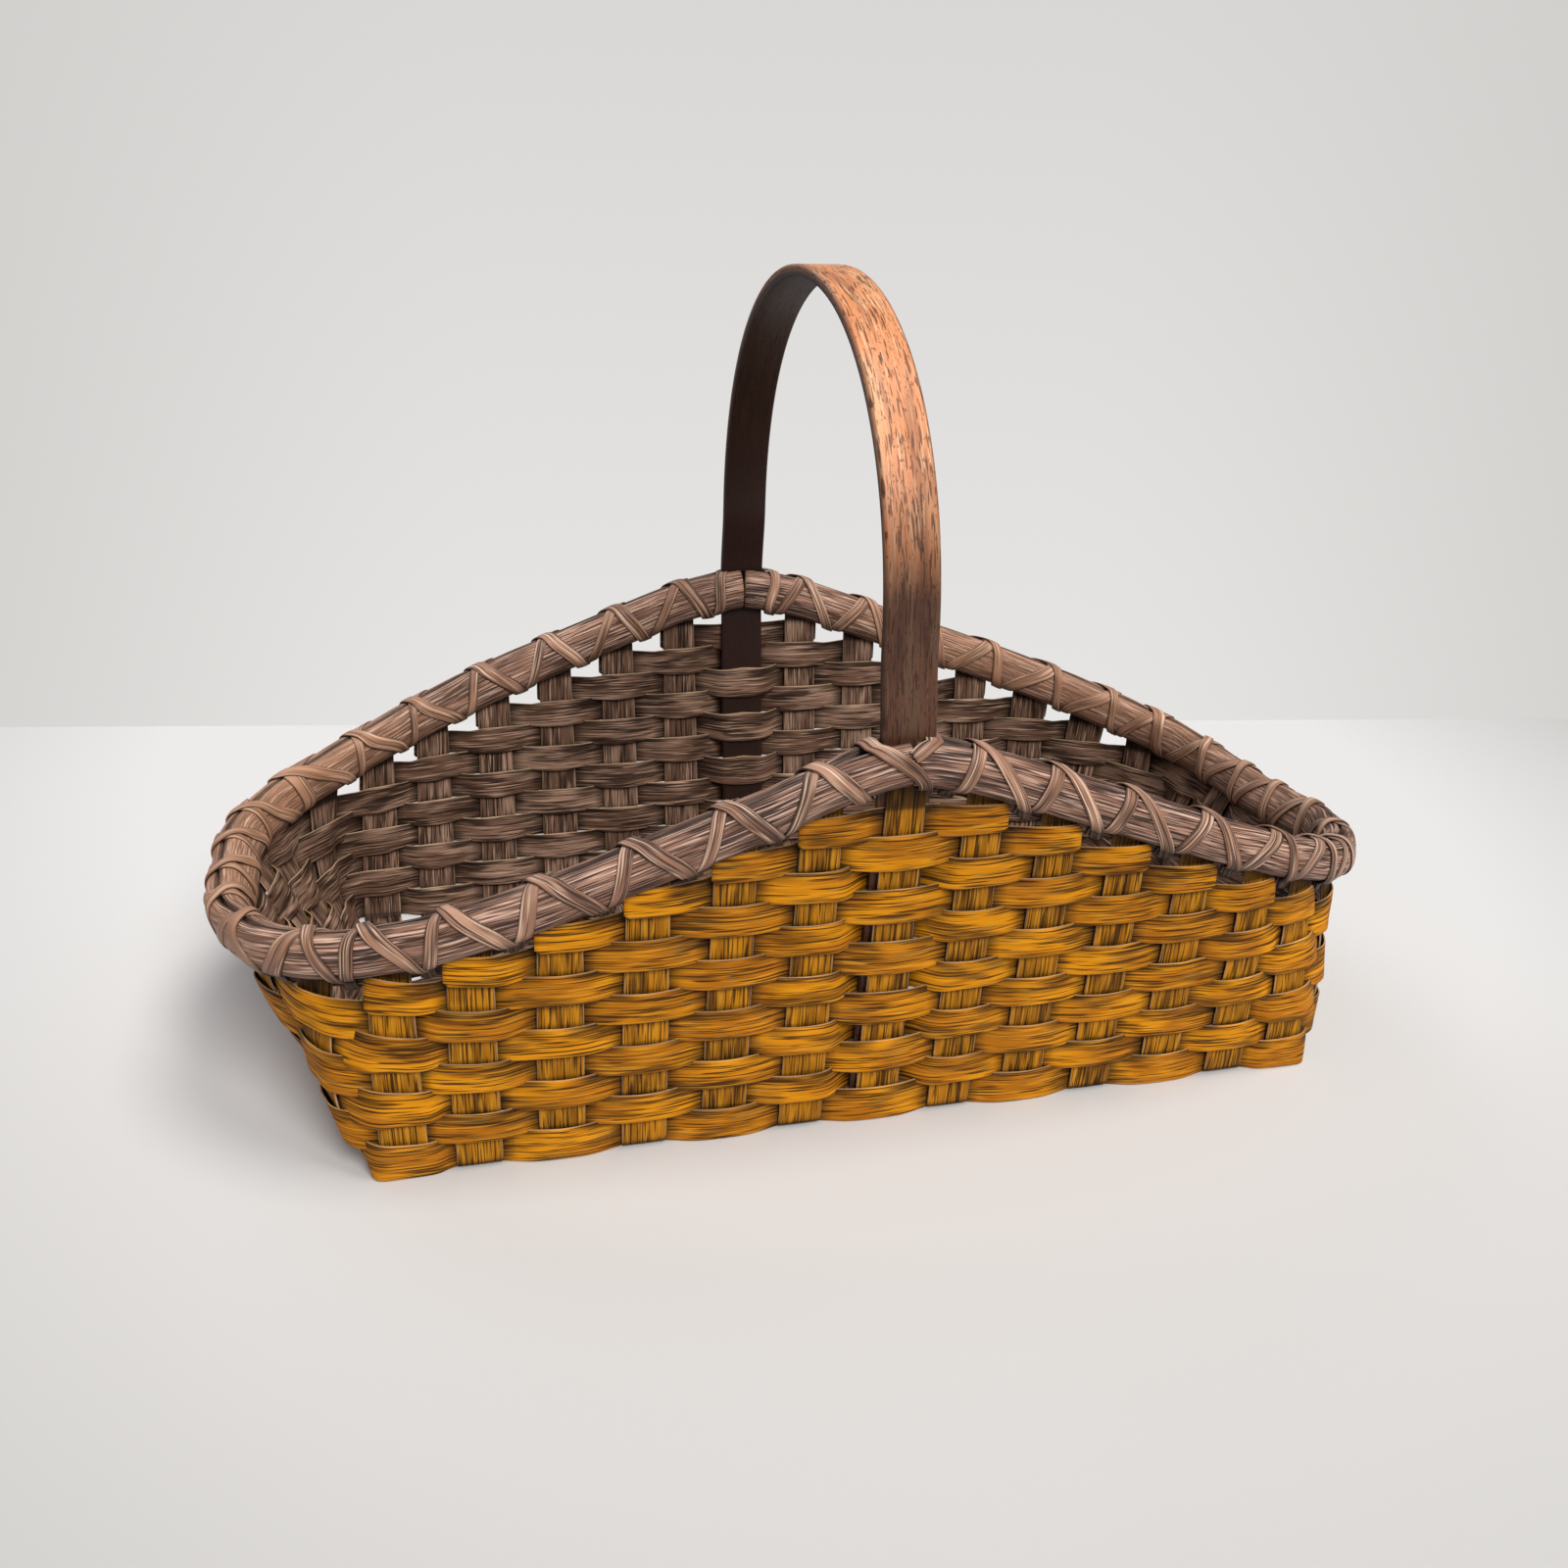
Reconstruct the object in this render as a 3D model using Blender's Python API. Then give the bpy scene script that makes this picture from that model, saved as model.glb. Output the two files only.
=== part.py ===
# A foraging basket woven from flat wooden splints, with a lashed rim and a bent hoop handle.
# Metres, +Z up. The long sides run along X, the front is -Y, the origin is under the middle.
import math

import bmesh
import bpy
import numpy as np

# Counts
side_stakes = 6  # stakes each way from the middle one, on the long sides
end_stakes = 3  # the same on the ends
ring_rows = 6
short_rows = 6

# Splints
stake_width = 0.019
stake_thickness = 0.0014
stake_gap = 0.01505
corner_draw = 0.0045  # the outermost side stakes stand this much nearer the middle
stake_edge_room = 0.001  # a weaver runs straight this far past a stake's edge
bend_radius = 0.0025
bend_steps = 3
weaver_height = 0.012
weaver_thickness = 0.0014
row_gap = 0.0004
row_overhang = 0.0004  # a short row ends this far past its last stake's edge
seat_gap = 0.0003  # room between pieces that touch
twist_room = 0.0006  # more of it where a stake twists an eighth of a turn

# Walls
side_margin = 0.00975  # from the outermost splint in the base to the wall
end_margin = 0.0037
side_lean_share = 0.107
end_lean_share = 0.565
corner_radius = 0.0037
corner_growth_share = 1.2
corner_steps = 3  # parts of a weaver between the last side stake and the first end stake
curved_turn = 0.09  # radians from the straight wall, above which the rim's gaps are curved
twisted_turn = 0.37  # and above which a stake twists enough to need more cross-sections

# Rim
rim_height = 0.018
rim_thickness = 0.007
rim_seat = 0.001  # above the corners of the stepped rows
rim_kerf = 0.0008
rim_crown_share = 0.6  # of its thickness, flat on top and below
stake_top_share = 0.55
rim_step_share = 0.25  # of a stake's grip, to each side, for the rim's direction
rim_rounds = 3  # to settle a rim point's height
arc_rise_share = 0.125  # an arc's rise, of its chord and the turn between its ends

# Lashing
lash_width = 0.0054  # along the rim
lash_thickness = 0.0008
lash_gap = 0.0008  # under a strand, which runs straight where the rim bends

# Handle
handle_width = 0.0224
handle_thickness = 0.0052
handle_tail = 0.003  # thickness below the rim's top
handle_chamfer = 0.001
handle_straight = 0.046  # from the rim's peak to the spring of the arch
handle_rise = 0.132
handle_draw_in = 0.0035
arch_power_share = 2.1
arch_steps = 9

stake_spacing = stake_width + stake_gap
stake_grip = stake_width / 2 + stake_edge_room
grip_share = stake_grip / stake_spacing
row_pitch = weaver_height + row_gap
last_row = ring_rows + short_rows
half_ring = 2 * (side_stakes + end_stakes + 1)


# A stake's place along its wall
def stake_place(kind, index):
    drawn = corner_draw if kind == "side" and abs(index) == side_stakes else 0.0
    return index * stake_spacing - math.copysign(drawn, index)


base_half_length = stake_place("side", side_stakes) + stake_width / 2 + end_margin
base_half_width = end_stakes * stake_spacing + stake_width / 2 + side_margin
low_level = stake_thickness / 2
high_level = low_level + stake_thickness + seat_gap
first_row = stake_thickness / 2 + bend_radius - row_gap
weave_offset = (stake_thickness + weaver_thickness) / 2 + seat_gap

rim_half = rim_height / 2
rim_crown = rim_thickness * rim_crown_share
rim_clamp = stake_thickness / 2 + seat_gap
handle_face = weave_offset + weaver_thickness / 2 + seat_gap
handle_back = handle_face + handle_tail
bow_face = handle_back + seat_gap
handle_pass = handle_back + seat_gap + weaver_thickness / 2
handle_grip = handle_width / 2 + stake_edge_room
rim_outline = (
    (0.0, -rim_half),
    (rim_crown, -rim_half),
    (rim_thickness, 0.0),
    (rim_crown, rim_half),
    (0.0, rim_half),
)


def unit(vector):
    return vector / np.linalg.norm(vector)


def row_bottom(row):
    return first_row + (row - 1) * row_pitch + row_gap / 2


def row_top(row):
    return first_row + row * row_pitch - row_gap / 2


def row_reach(row):
    return side_stakes - max(row - ring_rows - 1, 0)


def row_end(row):
    return stake_place("side", row_reach(row)) + stake_grip


# The rim's line runs down over the corners of the steps, with a round peak and level ends
rim_slope = row_pitch / stake_spacing
peak_half = row_end(last_row)
step_end = row_end(ring_rows + 1)
step_z = row_top(last_row) + rim_seat + rim_half * math.hypot(1, rim_slope)
peak_z = step_z + rim_slope * peak_half / 2
line_foot_z = step_z - rim_slope * (step_end - peak_half)
lash_room = 2 * (lash_thickness + lash_gap) + seat_gap
rim_end_z = row_top(ring_rows) + lash_room + rim_half
spring_z = peak_z + handle_straight
shoulder_z = peak_z + rim_half + seat_gap


# The wall's half length, half width and corner radius at a height
def plan(z):
    half_length = base_half_length + end_lean_share * z
    half_width = base_half_width + side_lean_share * z
    return half_length, half_width, corner_radius + corner_growth_share * z


# How far out the wall's arc lies, past the straight run at a given place, and how far it has turned
def arc_reach(place, straight, out, radius):
    past = min(max(abs(place) - straight, 0.0), radius)
    return out - radius + math.sqrt(radius**2 - past**2), math.asin(past / radius)


def side_reach(x, z):
    half_length, half_width, radius = plan(z)
    return arc_reach(x, half_length - radius, half_width, radius)


def end_reach(y, z):
    half_length, half_width, radius = plan(z)
    return arc_reach(y, half_width - radius, half_length, radius)


end_length, end_width, end_radius = plan(rim_end_z)
start_turn = math.asin(min((step_end - end_length + end_radius) / end_radius, 1.0))
arc_slope = rim_slope * math.cos(start_turn)
level_run = 2 * max(line_foot_z - rim_end_z, seat_gap) / arc_slope


def rim_z(x, y):
    x, y = abs(x), abs(y)
    if x <= peak_half:
        return peak_z - rim_slope * x**2 / (2 * peak_half)
    if x <= step_end:
        return step_z - rim_slope * (x - peak_half)
    deep = y - (end_width - end_radius)
    turn = math.atan2(x - (end_length - end_radius), max(deep, 0.0))
    run = end_radius * (turn - start_turn) + max(-deep, 0.0)
    run = min(max(run, 0.0), level_run)
    return line_foot_z - arc_slope * (run - run**2 / (2 * level_run))


# A stake is (kind, index, side). The ring of stakes starts at the front middle and goes towards +X.
def stake_ring():
    sides = range(-side_stakes, side_stakes + 1)
    ends = range(-end_stakes, end_stakes + 1)
    ring = [("side", k, -1) for k in range(side_stakes + 1)]
    ring += [("end", j, 1) for j in ends]
    ring += [("side", k, 1) for k in reversed(sides)]
    ring += [("end", j, -1) for j in reversed(ends)]
    return ring + [("side", k, -1) for k in range(-side_stakes, 0)]


ring = stake_ring()


def wall_point(stake, z):
    kind, index, side = stake
    place = stake_place(kind, index)
    if kind == "side":
        return np.array([place, side * side_reach(place, z)[0], z])
    return np.array([side * end_reach(place, z)[0], place, z])


def stake_rim_z(stake):
    spot = wall_point(stake, rim_end_z)
    return rim_z(spot[0], spot[1])


# Where the rim starts on a stake, at the stake's lower edge
def stake_foot(stake):
    spot = np.abs(wall_point(stake, rim_end_z))
    lower = (stake_grip, 0.0) if stake[0] == "side" else (0.0, -stake_grip)
    return rim_z(spot[0] + lower[0], spot[1] + lower[1]) - rim_half * math.hypot(1, rim_slope)


def stake_turn(stake):
    kind, index, _ = stake
    reach = side_reach if kind == "side" else end_reach
    return reach(stake_place(kind, index), stake_rim_z(stake))[1]


# The middle of a stake at a height, with its width, its rise and its outward direction
def stake_frame(stake, z):
    kind, index, side = stake
    share = min(max((z - high_level) / (stake_foot(stake) - high_level), 0.0), 1.0)
    turn = share * stake_turn(stake)
    aside = math.copysign(math.sin(turn), index) if index else 0.0
    ahead = side * math.cos(turn)
    out = np.array([aside, ahead, 0.0] if kind == "side" else [ahead, aside, 0.0])
    width = np.array([-out[1], out[0], 0.0])
    step = wall_point(stake, z + stake_thickness) - wall_point(stake, z)
    normal = unit(np.cross(width, step))
    return wall_point(stake, z), width, np.cross(normal, width), normal


# A point on the round of a corner between two stakes' edges, and its outward direction
def corner_frame(near, far, share, z):
    half_length, half_width, radius = plan(z)
    centre = np.array([half_length - radius, half_width - radius])
    arms = [np.abs(edge[0][:2]) - centre for edge in (near, far)]
    turns = [min(max(math.atan2(*arm), 0.0), math.pi / 2) for arm in arms]
    turn = turns[0] + (turns[1] - turns[0]) * share
    reaches = [np.linalg.norm(arm) if 0 < min(arm) else radius for arm in arms]
    reach = reaches[0] + (reaches[1] - reaches[0]) * share
    spot = np.sign(near[0][:2]) * (centre + reach * np.array([math.sin(turn), math.cos(turn)]))
    return np.array([*spot, z]), unit(near[1] + (far[1] - near[1]) * share)


def material(name, colour, roughness):
    made = bpy.data.materials.new(name)
    made.use_nodes = True
    shader = made.node_tree.nodes["Principled BSDF"]
    shader.inputs["Base Color"].default_value = (*colour, 1.0)
    shader.inputs["Roughness"].default_value = roughness
    shader.inputs["Metallic"].default_value = 0.0
    return made


# One solid through a list of cross-sections, closed on itself or capped at both ends
def solid(name, sections, finish, closed=False):
    bm = bmesh.new()
    rings = [[bm.verts.new(tuple(corner)) for corner in section] for section in sections]
    count = len(rings[0])
    for i in range(len(rings) if closed else len(rings) - 1):
        near, far = rings[i], rings[(i + 1) % len(rings)]
        for a in range(count):
            b = (a + 1) % count
            bm.faces.new((near[a], near[b], far[b], far[a]))
    if not closed:
        bm.faces.new(rings[0])
        bm.faces.new(rings[-1])
    bmesh.ops.recalc_face_normals(bm, faces=bm.faces)
    mesh = bpy.data.meshes.new(name)
    bm.to_mesh(mesh)
    bm.free()
    mesh.materials.append(material(f"{name}_wood", *finish))
    made = bpy.data.objects.new(name, mesh)
    bpy.context.collection.objects.link(made)
    return made


# The four corners of a flat splint
def splint(point, width, normal):
    wide = width * stake_width / 2
    thick = normal * stake_thickness / 2
    return [point - wide + thick, point + wide + thick, point + wide - thick, point - wide - thick]


# A point of a stake inside the rim, where the stake runs on straight, and its outward direction
def clamped_edge(stake, z, shift):
    point, width, up, normal = stake_frame(stake, stake_rim_z(stake))
    return point + up * (z - point[2]) / up[2] + width * shift, normal


# A stake's wall part, from its bend at the base up to its top, as cross-sections
def wall_sections(stake, level, width):
    corner = wall_point(stake, level)
    rise = unit(wall_point(stake, row_bottom(1)) - corner)
    out = unit(np.array([*stake_frame(stake, low_level)[3][:2], 0.0]))
    turn = math.acos(float(np.dot(out, rise)))
    start = corner - out * bend_radius * math.tan(turn / 2)
    centre = start + np.array([0.0, 0.0, bend_radius])
    sections = []
    for i in range(bend_steps + 1):
        part = turn * i / bend_steps
        away = out * math.sin(part) - np.array([0.0, 0.0, math.cos(part)])
        sections.append(splint(centre + away * bend_radius, width, away))
    foot = stake_foot(stake)
    spacing = row_pitch / 2 if stake_turn(stake) > twisted_turn else row_pitch
    levels = int((foot - first_row) / spacing) if stake_turn(stake) > 0 else 0
    spots = [stake_frame(stake, first_row + i * spacing) for i in range(1, levels + 1)]
    frame = stake_frame(stake, stake_rim_z(stake))
    for z in (foot, stake_rim_z(stake) + rim_half * stake_top_share):
        spots.append((clamped_edge(stake, z, 0.0)[0], *frame[1:]))
    for point, along, _, normal in spots:
        facing = math.copysign(1, float(np.dot(along, width)))
        sections.append(splint(point, along * facing, normal))
    return sections


# One stake: down one wall, over and under across the base, and up the other wall
def stake_solid(name, kind, index, finish):
    crossed, crossings = ("end", end_stakes) if kind == "side" else ("side", side_stakes)
    width = np.array([1.0, 0.0, 0.0] if kind == "side" else [0.0, 1.0, 0.0])
    along = np.array([0.0, 1.0, 0.0] if kind == "side" else [1.0, 0.0, 0.0])
    down = np.array([0.0, 0.0, -1.0])
    place = width * stake_place(kind, index)
    low_parity = 0 if kind == "side" else 1

    def level(i):
        return low_level if (index + i) % 2 == low_parity else high_level

    bend_level = low_level if kind == "side" else level(crossings)
    sections = wall_sections((kind, index, -1), bend_level, width)[::-1]
    for i in range(-crossings, crossings + 1):
        for edge in (-stake_grip, stake_grip):
            point = place + along * (stake_place(crossed, i) + edge) - down * level(i)
            sections.append(splint(point, width, down))
    sections += wall_sections((kind, index, 1), bend_level, width)
    return solid(name, sections, finish)


# A weaver's cross-section between its lower and its upper edge, set out from the wall by an
# offset square to the wall. The offset itself is level, so that a row keeps its height.
def weaver_section(edges, offset):
    half = weaver_thickness / 2
    corners = []
    for place, out in ((0, offset + half), (1, offset + half), (1, offset - half), (0, offset - half)):
        point, normal = edges[place]
        level = np.array([normal[0], normal[1], 0.0])
        corners.append(point + level * out / np.dot(level, level))
    return corners


def stake_edge(stake, z, shift):
    point, width, _, normal = stake_frame(stake, z)
    return point + width * shift, normal


def weaver_solid(name, row, places, finish, closed=False):
    heights = (row_bottom(row), row_top(row))

    def crossing(stake):
        outside = (row + stake[1]) % 2 == 1
        if stake[:2] == ("side", 0) and not outside and row < last_row:
            return -handle_pass, handle_grip
        room = weave_offset + twist_room * stake_turn(stake) / (math.pi / 4)
        return (room if outside else -room), stake_grip

    sections = []
    for i in places:
        stake, following = ring[i % len(ring)], ring[(i + 1) % len(ring)]
        offset, grip = crossing(stake)
        shifts = (-grip, 0.0, grip) if stake_turn(stake) > twisted_turn else (-grip, grip)
        for shift in shifts:
            if not closed and (i, np.sign(shift)) in ((places[0], -1), (places[-1], 1)):
                shift = math.copysign(stake_width / 2 + row_overhang, shift)
            edges = [stake_edge(stake, z, shift) for z in heights]
            sections.append(weaver_section(edges, offset))
        if stake[0] != following[0] and (closed or i != places[-1]):
            next_offset, next_grip = crossing(following)
            for share in np.arange(1, corner_steps) / corner_steps:
                edges = []
                for z in heights:
                    near = stake_edge(stake, z, grip)
                    far = stake_edge(following, z, -next_grip)
                    edges.append(corner_frame(near, far, share, z))
                blend = offset + (next_offset - offset) * share
                sections.append(weaver_section(edges, blend))
    return solid(name, sections, finish, closed)


# The rim's middle line over the right half of the basket and a little past both middles,
# read by ring place: 0 is the front middle stake and half_ring the back one
def rim_line():
    places, spots, normals, tangents = [], [], [], []
    for i in range(-2, half_ring + 3):
        stake = ring[i % len(ring)]
        for side in (-1, 1):
            z = stake_rim_z(stake)
            for _ in range(rim_rounds):
                point, normal = clamped_edge(stake, z, side * stake_grip)
                z = rim_z(point[0], point[1])
            places.append(i + side * grip_share)
            spots.append(clamped_edge(stake, z, side * stake_grip)[0])
            normals.append(normal)
            tangents.append(stake_frame(stake, z)[1])
    for i in range(len(places) - 2, 1, -2):
        near, far = i - 1, i
        middle = (spots[near] + spots[far]) / 2
        chord = np.linalg.norm(spots[far] - spots[near])
        bulge = (tangents[near] - tangents[far]) * chord * arc_rise_share
        places.insert(far, (places[near] + places[far]) / 2)
        spots.insert(far, middle + bulge)
        normals.insert(far, unit(normals[near] + normals[far]))
    return np.array(places), np.array(spots), np.array(normals)


rim_places, rim_spots, rim_normals = rim_line()


def rim_read(place, values):
    return np.array([np.interp(place, rim_places, values[:, axis]) for axis in range(3)])


def rim_at(place):
    step = grip_share * rim_step_share
    ahead = rim_read(place + step, rim_spots) - rim_read(place - step, rim_spots)
    normal = unit(rim_read(place, rim_normals))
    up = unit(np.cross(normal, ahead))
    along = np.cross(up, normal)
    level = np.array([along[0], along[1], 0.0])
    upright = up - along * np.dot(up, level) / np.dot(along, level)
    return rim_read(place, rim_spots), along, upright, normal


bow_start = handle_grip / stake_spacing
bow_end = 1.0


# How far inside the wall's middle the inner strip's flat face lies
def inner_face(place):
    from_middle = min(abs(place), abs(place - half_ring))
    return float(np.interp(from_middle, (bow_start, bow_end), (bow_face, rim_clamp)))


def gap_turns(place):
    near, far = ring[int(place)], ring[int(place) + 1]
    return "end" in (near[0], far[0]) or max(stake_turn(near), stake_turn(far)) > curved_turn


def rim_half_solid(name, side, left, finish):
    kerf = rim_kerf / 2 / stake_spacing
    places = [kerf, half_ring - kerf]
    places += [p for p in rim_places if kerf < p < half_ring - kerf and (p % 1 != 0.5 or gap_turns(p))]
    if side < 0:
        places += [bow_start, bow_end, half_ring - bow_end, half_ring - bow_start]
    sections = []
    for place in sorted(places):
        point, _, up, normal = rim_at(place)
        face = rim_clamp if side > 0 else inner_face(place)
        sections.append([point + normal * side * (face + n) + up * u for n, u in rim_outline])
    return solid(name, turn_half(sections, left), finish)


# The left half is the right half turned half a turn about the middle
def turn_half(sections, left):
    sign = -1 if left else 1
    return [[corner * np.array([sign, sign, 1]) for corner in section] for section in sections]


# The rim's long edges as a lashing strand meets them on its way up the outer side:
# place out from the strip's face, height, mitred direction, and share of the way up
def rim_edges():
    corners = [np.array(corner) for corner in rim_outline]
    facets = []
    for i in range(len(corners) - 1):
        along = corners[i + 1] - corners[i]
        facets.append(unit(np.array([along[1], -along[0]])))
    lengths = [np.linalg.norm(corners[i + 1] - corners[i]) for i in range(len(facets))]
    lengths[0] += rim_clamp
    lengths[-1] += rim_clamp
    edges = []
    for i in range(1, len(corners) - 1):
        both = facets[i - 1] + facets[i]
        mitre = both / (1 + float(np.dot(facets[i - 1], facets[i])))
        edges.append((*corners[i], mitre, sum(lengths[:i]) / sum(lengths)))
    return edges


# A strand starts in the hole left of the front middle, crosses over to the right of the handle,
# winds round the right half and ends in the last hole before the back middle
def lash_solid(name, layer, mirrored, left, finish):
    lift = lash_gap + lash_thickness / 2 + layer * (lash_thickness + lash_gap)
    handle_side = (handle_width / 2 + 2 * seat_gap + lash_width / 2) / stake_spacing
    edges = rim_edges()
    top_share = edges[-1][3]
    under = (-rim_half, np.array([0.0, -1.0]))
    stations = [(-0.5, 1, seat_gap, *under)]
    for loop in range(half_ring):
        top = handle_side if loop == 0 else loop
        for n, u, mitre, share in edges:
            climb = min(share / top_share, 1.0) if loop == 0 else share
            place = loop - 0.5 + (top - loop + 0.5) * climb
            stations.append((place, 1, rim_clamp + n, u, mitre))
        for n, u, mitre, share in reversed(edges):
            place = top + (loop + 0.5 - top) * (1 - share)
            stations.append((place, -1, inner_face(place) + n, u, mitre))
        if ring[loop][0] == "end":
            stations.append((loop + 0.5, 1, 0.0, *under))
    stations.append((half_ring - 0.5, 1, -seat_gap, *under))
    flip = np.array([1, -1 if mirrored else 1, 1])
    half_share = lash_width / 2 / stake_spacing
    sections = []
    for place, side, n, u, mitre in stations:
        section = []
        for edge, depth in ((-1, 1), (1, 1), (1, -1), (-1, -1)):
            spot = place + edge * half_share
            face = inner_face(spot) - inner_face(place) if side < 0 else 0.0
            point, _, up, normal = rim_at(spot)
            away = normal * side * mitre[0] + up * mitre[1]
            centre = point + normal * side * (n + face) + up * u
            section.append((centre + away * (lift + depth * lash_thickness / 2)) * flip)
        sections.append(section)
    print_self_gap(name, sections)
    return solid(name, turn_half(sections, left), finish)


# The least distance between a strand's turns, on points along its four edges
def print_self_gap(name, sections):
    turn = 2 * (len(rim_outline) - 2)
    points = np.array(sections)
    midway = (points[1:] + points[:-1]) / 2
    points = np.concatenate([points[:-1], midway], axis=1)
    least = math.inf
    for i in range(len(points) - turn // 2):
        others = points[i + turn // 2 :].reshape(-1, 3)
        spread = np.linalg.norm(points[i][:, None] - others[None], axis=2)
        least = min(least, float(spread.min()))
    print(f"{name}: least gap to itself {least:.5f} m")


# The hoop: tails inside the middle stakes, shoulders over the inner rim, and a rounded arch.
# It is built on its outer face, with its thickness inward.
def handle_solid(finish):
    def leg(z):
        point, _, _, normal = stake_frame(("side", 0, 1), z)
        return (point - normal * handle_face)[1:], -normal[1:]

    tail_foot = high_level + stake_thickness / 2 + seat_gap
    line = [(*leg(z), handle_tail) for z in (tail_foot, shoulder_z)]
    shoulder = leg(shoulder_z + handle_thickness - handle_tail)
    line.append((*shoulder, handle_thickness))
    half_span = shoulder[0][0] - handle_draw_in
    power = 2 / arch_power_share
    for i in range(arch_steps + 1):
        turn = math.pi * i / arch_steps / 2
        y, z = math.cos(turn) ** power, math.sin(turn) ** power
        spot = np.array([half_span * y, spring_z + handle_rise * z])
        slopes = [math.cos(turn) ** (2 - power), math.sin(turn) ** (2 - power)]
        outward = np.array([slopes[0] / half_span, slopes[1] / handle_rise])
        line.append((spot, -unit(outward), handle_thickness))
    mirror = np.array([-1, 1])
    line += [(spot * mirror, inward * mirror, deep) for spot, inward, deep in reversed(line[:-1])]
    sections = []
    for spot, inward, deep in line:
        edge, flat = handle_width / 2, handle_width / 2 - handle_chamfer
        near, far = handle_chamfer, deep - handle_chamfer
        outline = [(-flat, 0.0), (flat, 0.0), (edge, near), (edge, far)]
        outline += [(flat, deep), (-flat, deep), (-edge, far), (-edge, near)]
        sections.append([np.array([x, *(spot + inward * d)]) for x, d in outline])
    return solid("handle", sections, finish)


def build():
    for old in list(bpy.data.objects):
        bpy.data.objects.remove(old)
    stake_finish = ((0.30, 0.15, 0.03), 0.7)
    weaver_finish = ((0.45, 0.22, 0.03), 0.65)
    rim_finish = ((0.33, 0.19, 0.13), 0.6)
    lash_finish = ((0.38, 0.21, 0.15), 0.6)
    handle_finish = ((0.32, 0.13, 0.06), 0.45)
    for k in range(-side_stakes, side_stakes + 1):
        stake_solid(f"side_stake_{k + side_stakes + 1:02d}", "side", k, stake_finish)
    for j in range(-end_stakes, end_stakes + 1):
        stake_solid(f"end_stake_{j + end_stakes + 1}", "end", j, stake_finish)
    for row in range(1, ring_rows + 1):
        weaver_solid(f"ring_weaver_{row:02d}", row, range(len(ring)), weaver_finish, closed=True)
    for row in range(ring_rows + 1, last_row + 1):
        for wall, middle in (("front", 0), ("back", half_ring)):
            reach = row_reach(row)
            places = range(middle - reach, middle + reach + 1)
            weaver_solid(f"{wall}_short_weaver_{row:02d}", row, places, weaver_finish)
    for half, left in (("right", False), ("left", True)):
        rim_half_solid(f"outer_rim_{half}", 1, left, rim_finish)
        rim_half_solid(f"inner_rim_{half}", -1, left, rim_finish)
        lash_solid(f"under_lashing_{half}", 0, False, left, lash_finish)
        lash_solid(f"over_lashing_{half}", 1, True, left, lash_finish)
    handle_solid(handle_finish)


build()
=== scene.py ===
# A foraging basket woven from painted ash splints, with a lashed rim and a bent hoop handle.
import math
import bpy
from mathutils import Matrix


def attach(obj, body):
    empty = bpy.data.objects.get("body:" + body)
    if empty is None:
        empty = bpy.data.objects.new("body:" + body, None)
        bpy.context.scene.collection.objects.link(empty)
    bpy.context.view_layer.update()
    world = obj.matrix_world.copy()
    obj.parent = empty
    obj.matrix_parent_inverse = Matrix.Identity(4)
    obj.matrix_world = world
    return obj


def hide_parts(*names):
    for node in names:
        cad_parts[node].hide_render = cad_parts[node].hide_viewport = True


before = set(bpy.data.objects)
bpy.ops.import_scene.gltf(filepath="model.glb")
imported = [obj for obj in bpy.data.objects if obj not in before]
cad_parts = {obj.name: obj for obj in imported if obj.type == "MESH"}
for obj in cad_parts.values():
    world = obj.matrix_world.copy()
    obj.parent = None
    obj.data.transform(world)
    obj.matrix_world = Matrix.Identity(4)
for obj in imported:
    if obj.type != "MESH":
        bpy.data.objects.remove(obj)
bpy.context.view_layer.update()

from types import SimpleNamespace

import bpy
import numpy as np

mm = 0.001
photoSize = 1600

# The basket's plan, with the CAD part's own sizes in metres. Only lashRoom is less than there,
# because the strands lie closer here. The name cad holds them and what follows from them.
basket = dict(
    sideStakes=6,  # each way from the middle one
    endStakes=3,
    ringRows=6,
    lastRow=12,
    stakeWidth=19 * mm,
    stakeThick=1.4 * mm,
    spacing=34.05 * mm,
    cornerDraw=4.5 * mm,  # the outermost side stakes stand this much nearer the middle
    edgeRoom=1 * mm,
    bendRadius=2.5 * mm,
    weaverHeight=12 * mm,
    weaverThick=1.4 * mm,
    rowGap=0.4 * mm,
    seatGap=0.3 * mm,
    sideMargin=9.75 * mm,
    endMargin=3.7 * mm,
    sideLean=0.107,
    endLean=0.565,
    cornerRadius=3.7 * mm,
    cornerGrowth=1.2,
    rimHeight=18 * mm,
    rimThick=7 * mm,
    rimSeat=1 * mm,
    rimKerf=0.8 * mm,
    lashRoom=1.5 * mm,
    stakeTopShare=0.55,
)


cad = SimpleNamespace(**basket)
cad.grip = cad.stakeWidth / 2 + cad.edgeRoom
cad.gripShare = cad.grip / cad.spacing
cad.rowPitch = cad.weaverHeight + cad.rowGap
cad.halfRing = 2 * (cad.sideStakes + cad.endStakes + 1)


def stakePlace(kind, index):
    drawn = cad.cornerDraw if kind == "side" and abs(index) == cad.sideStakes else 0.0
    return index * cad.spacing - math.copysign(drawn, index)


cad.baseLength = stakePlace("side", cad.sideStakes) + cad.stakeWidth / 2 + cad.endMargin
cad.baseWidth = cad.endStakes * cad.spacing + cad.stakeWidth / 2 + cad.sideMargin
cad.lowLevel = cad.stakeThick / 2
cad.highLevel = cad.lowLevel + cad.stakeThick + cad.seatGap
cad.firstRow = cad.stakeThick / 2 + cad.bendRadius - cad.rowGap
cad.rimHalf = cad.rimHeight / 2
cad.clamp = cad.stakeThick / 2 + cad.seatGap
cad.weave = (cad.stakeThick + cad.weaverThick) / 2 + cad.seatGap
cad.handleFace = cad.weave + cad.weaverThick / 2 + cad.seatGap


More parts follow.
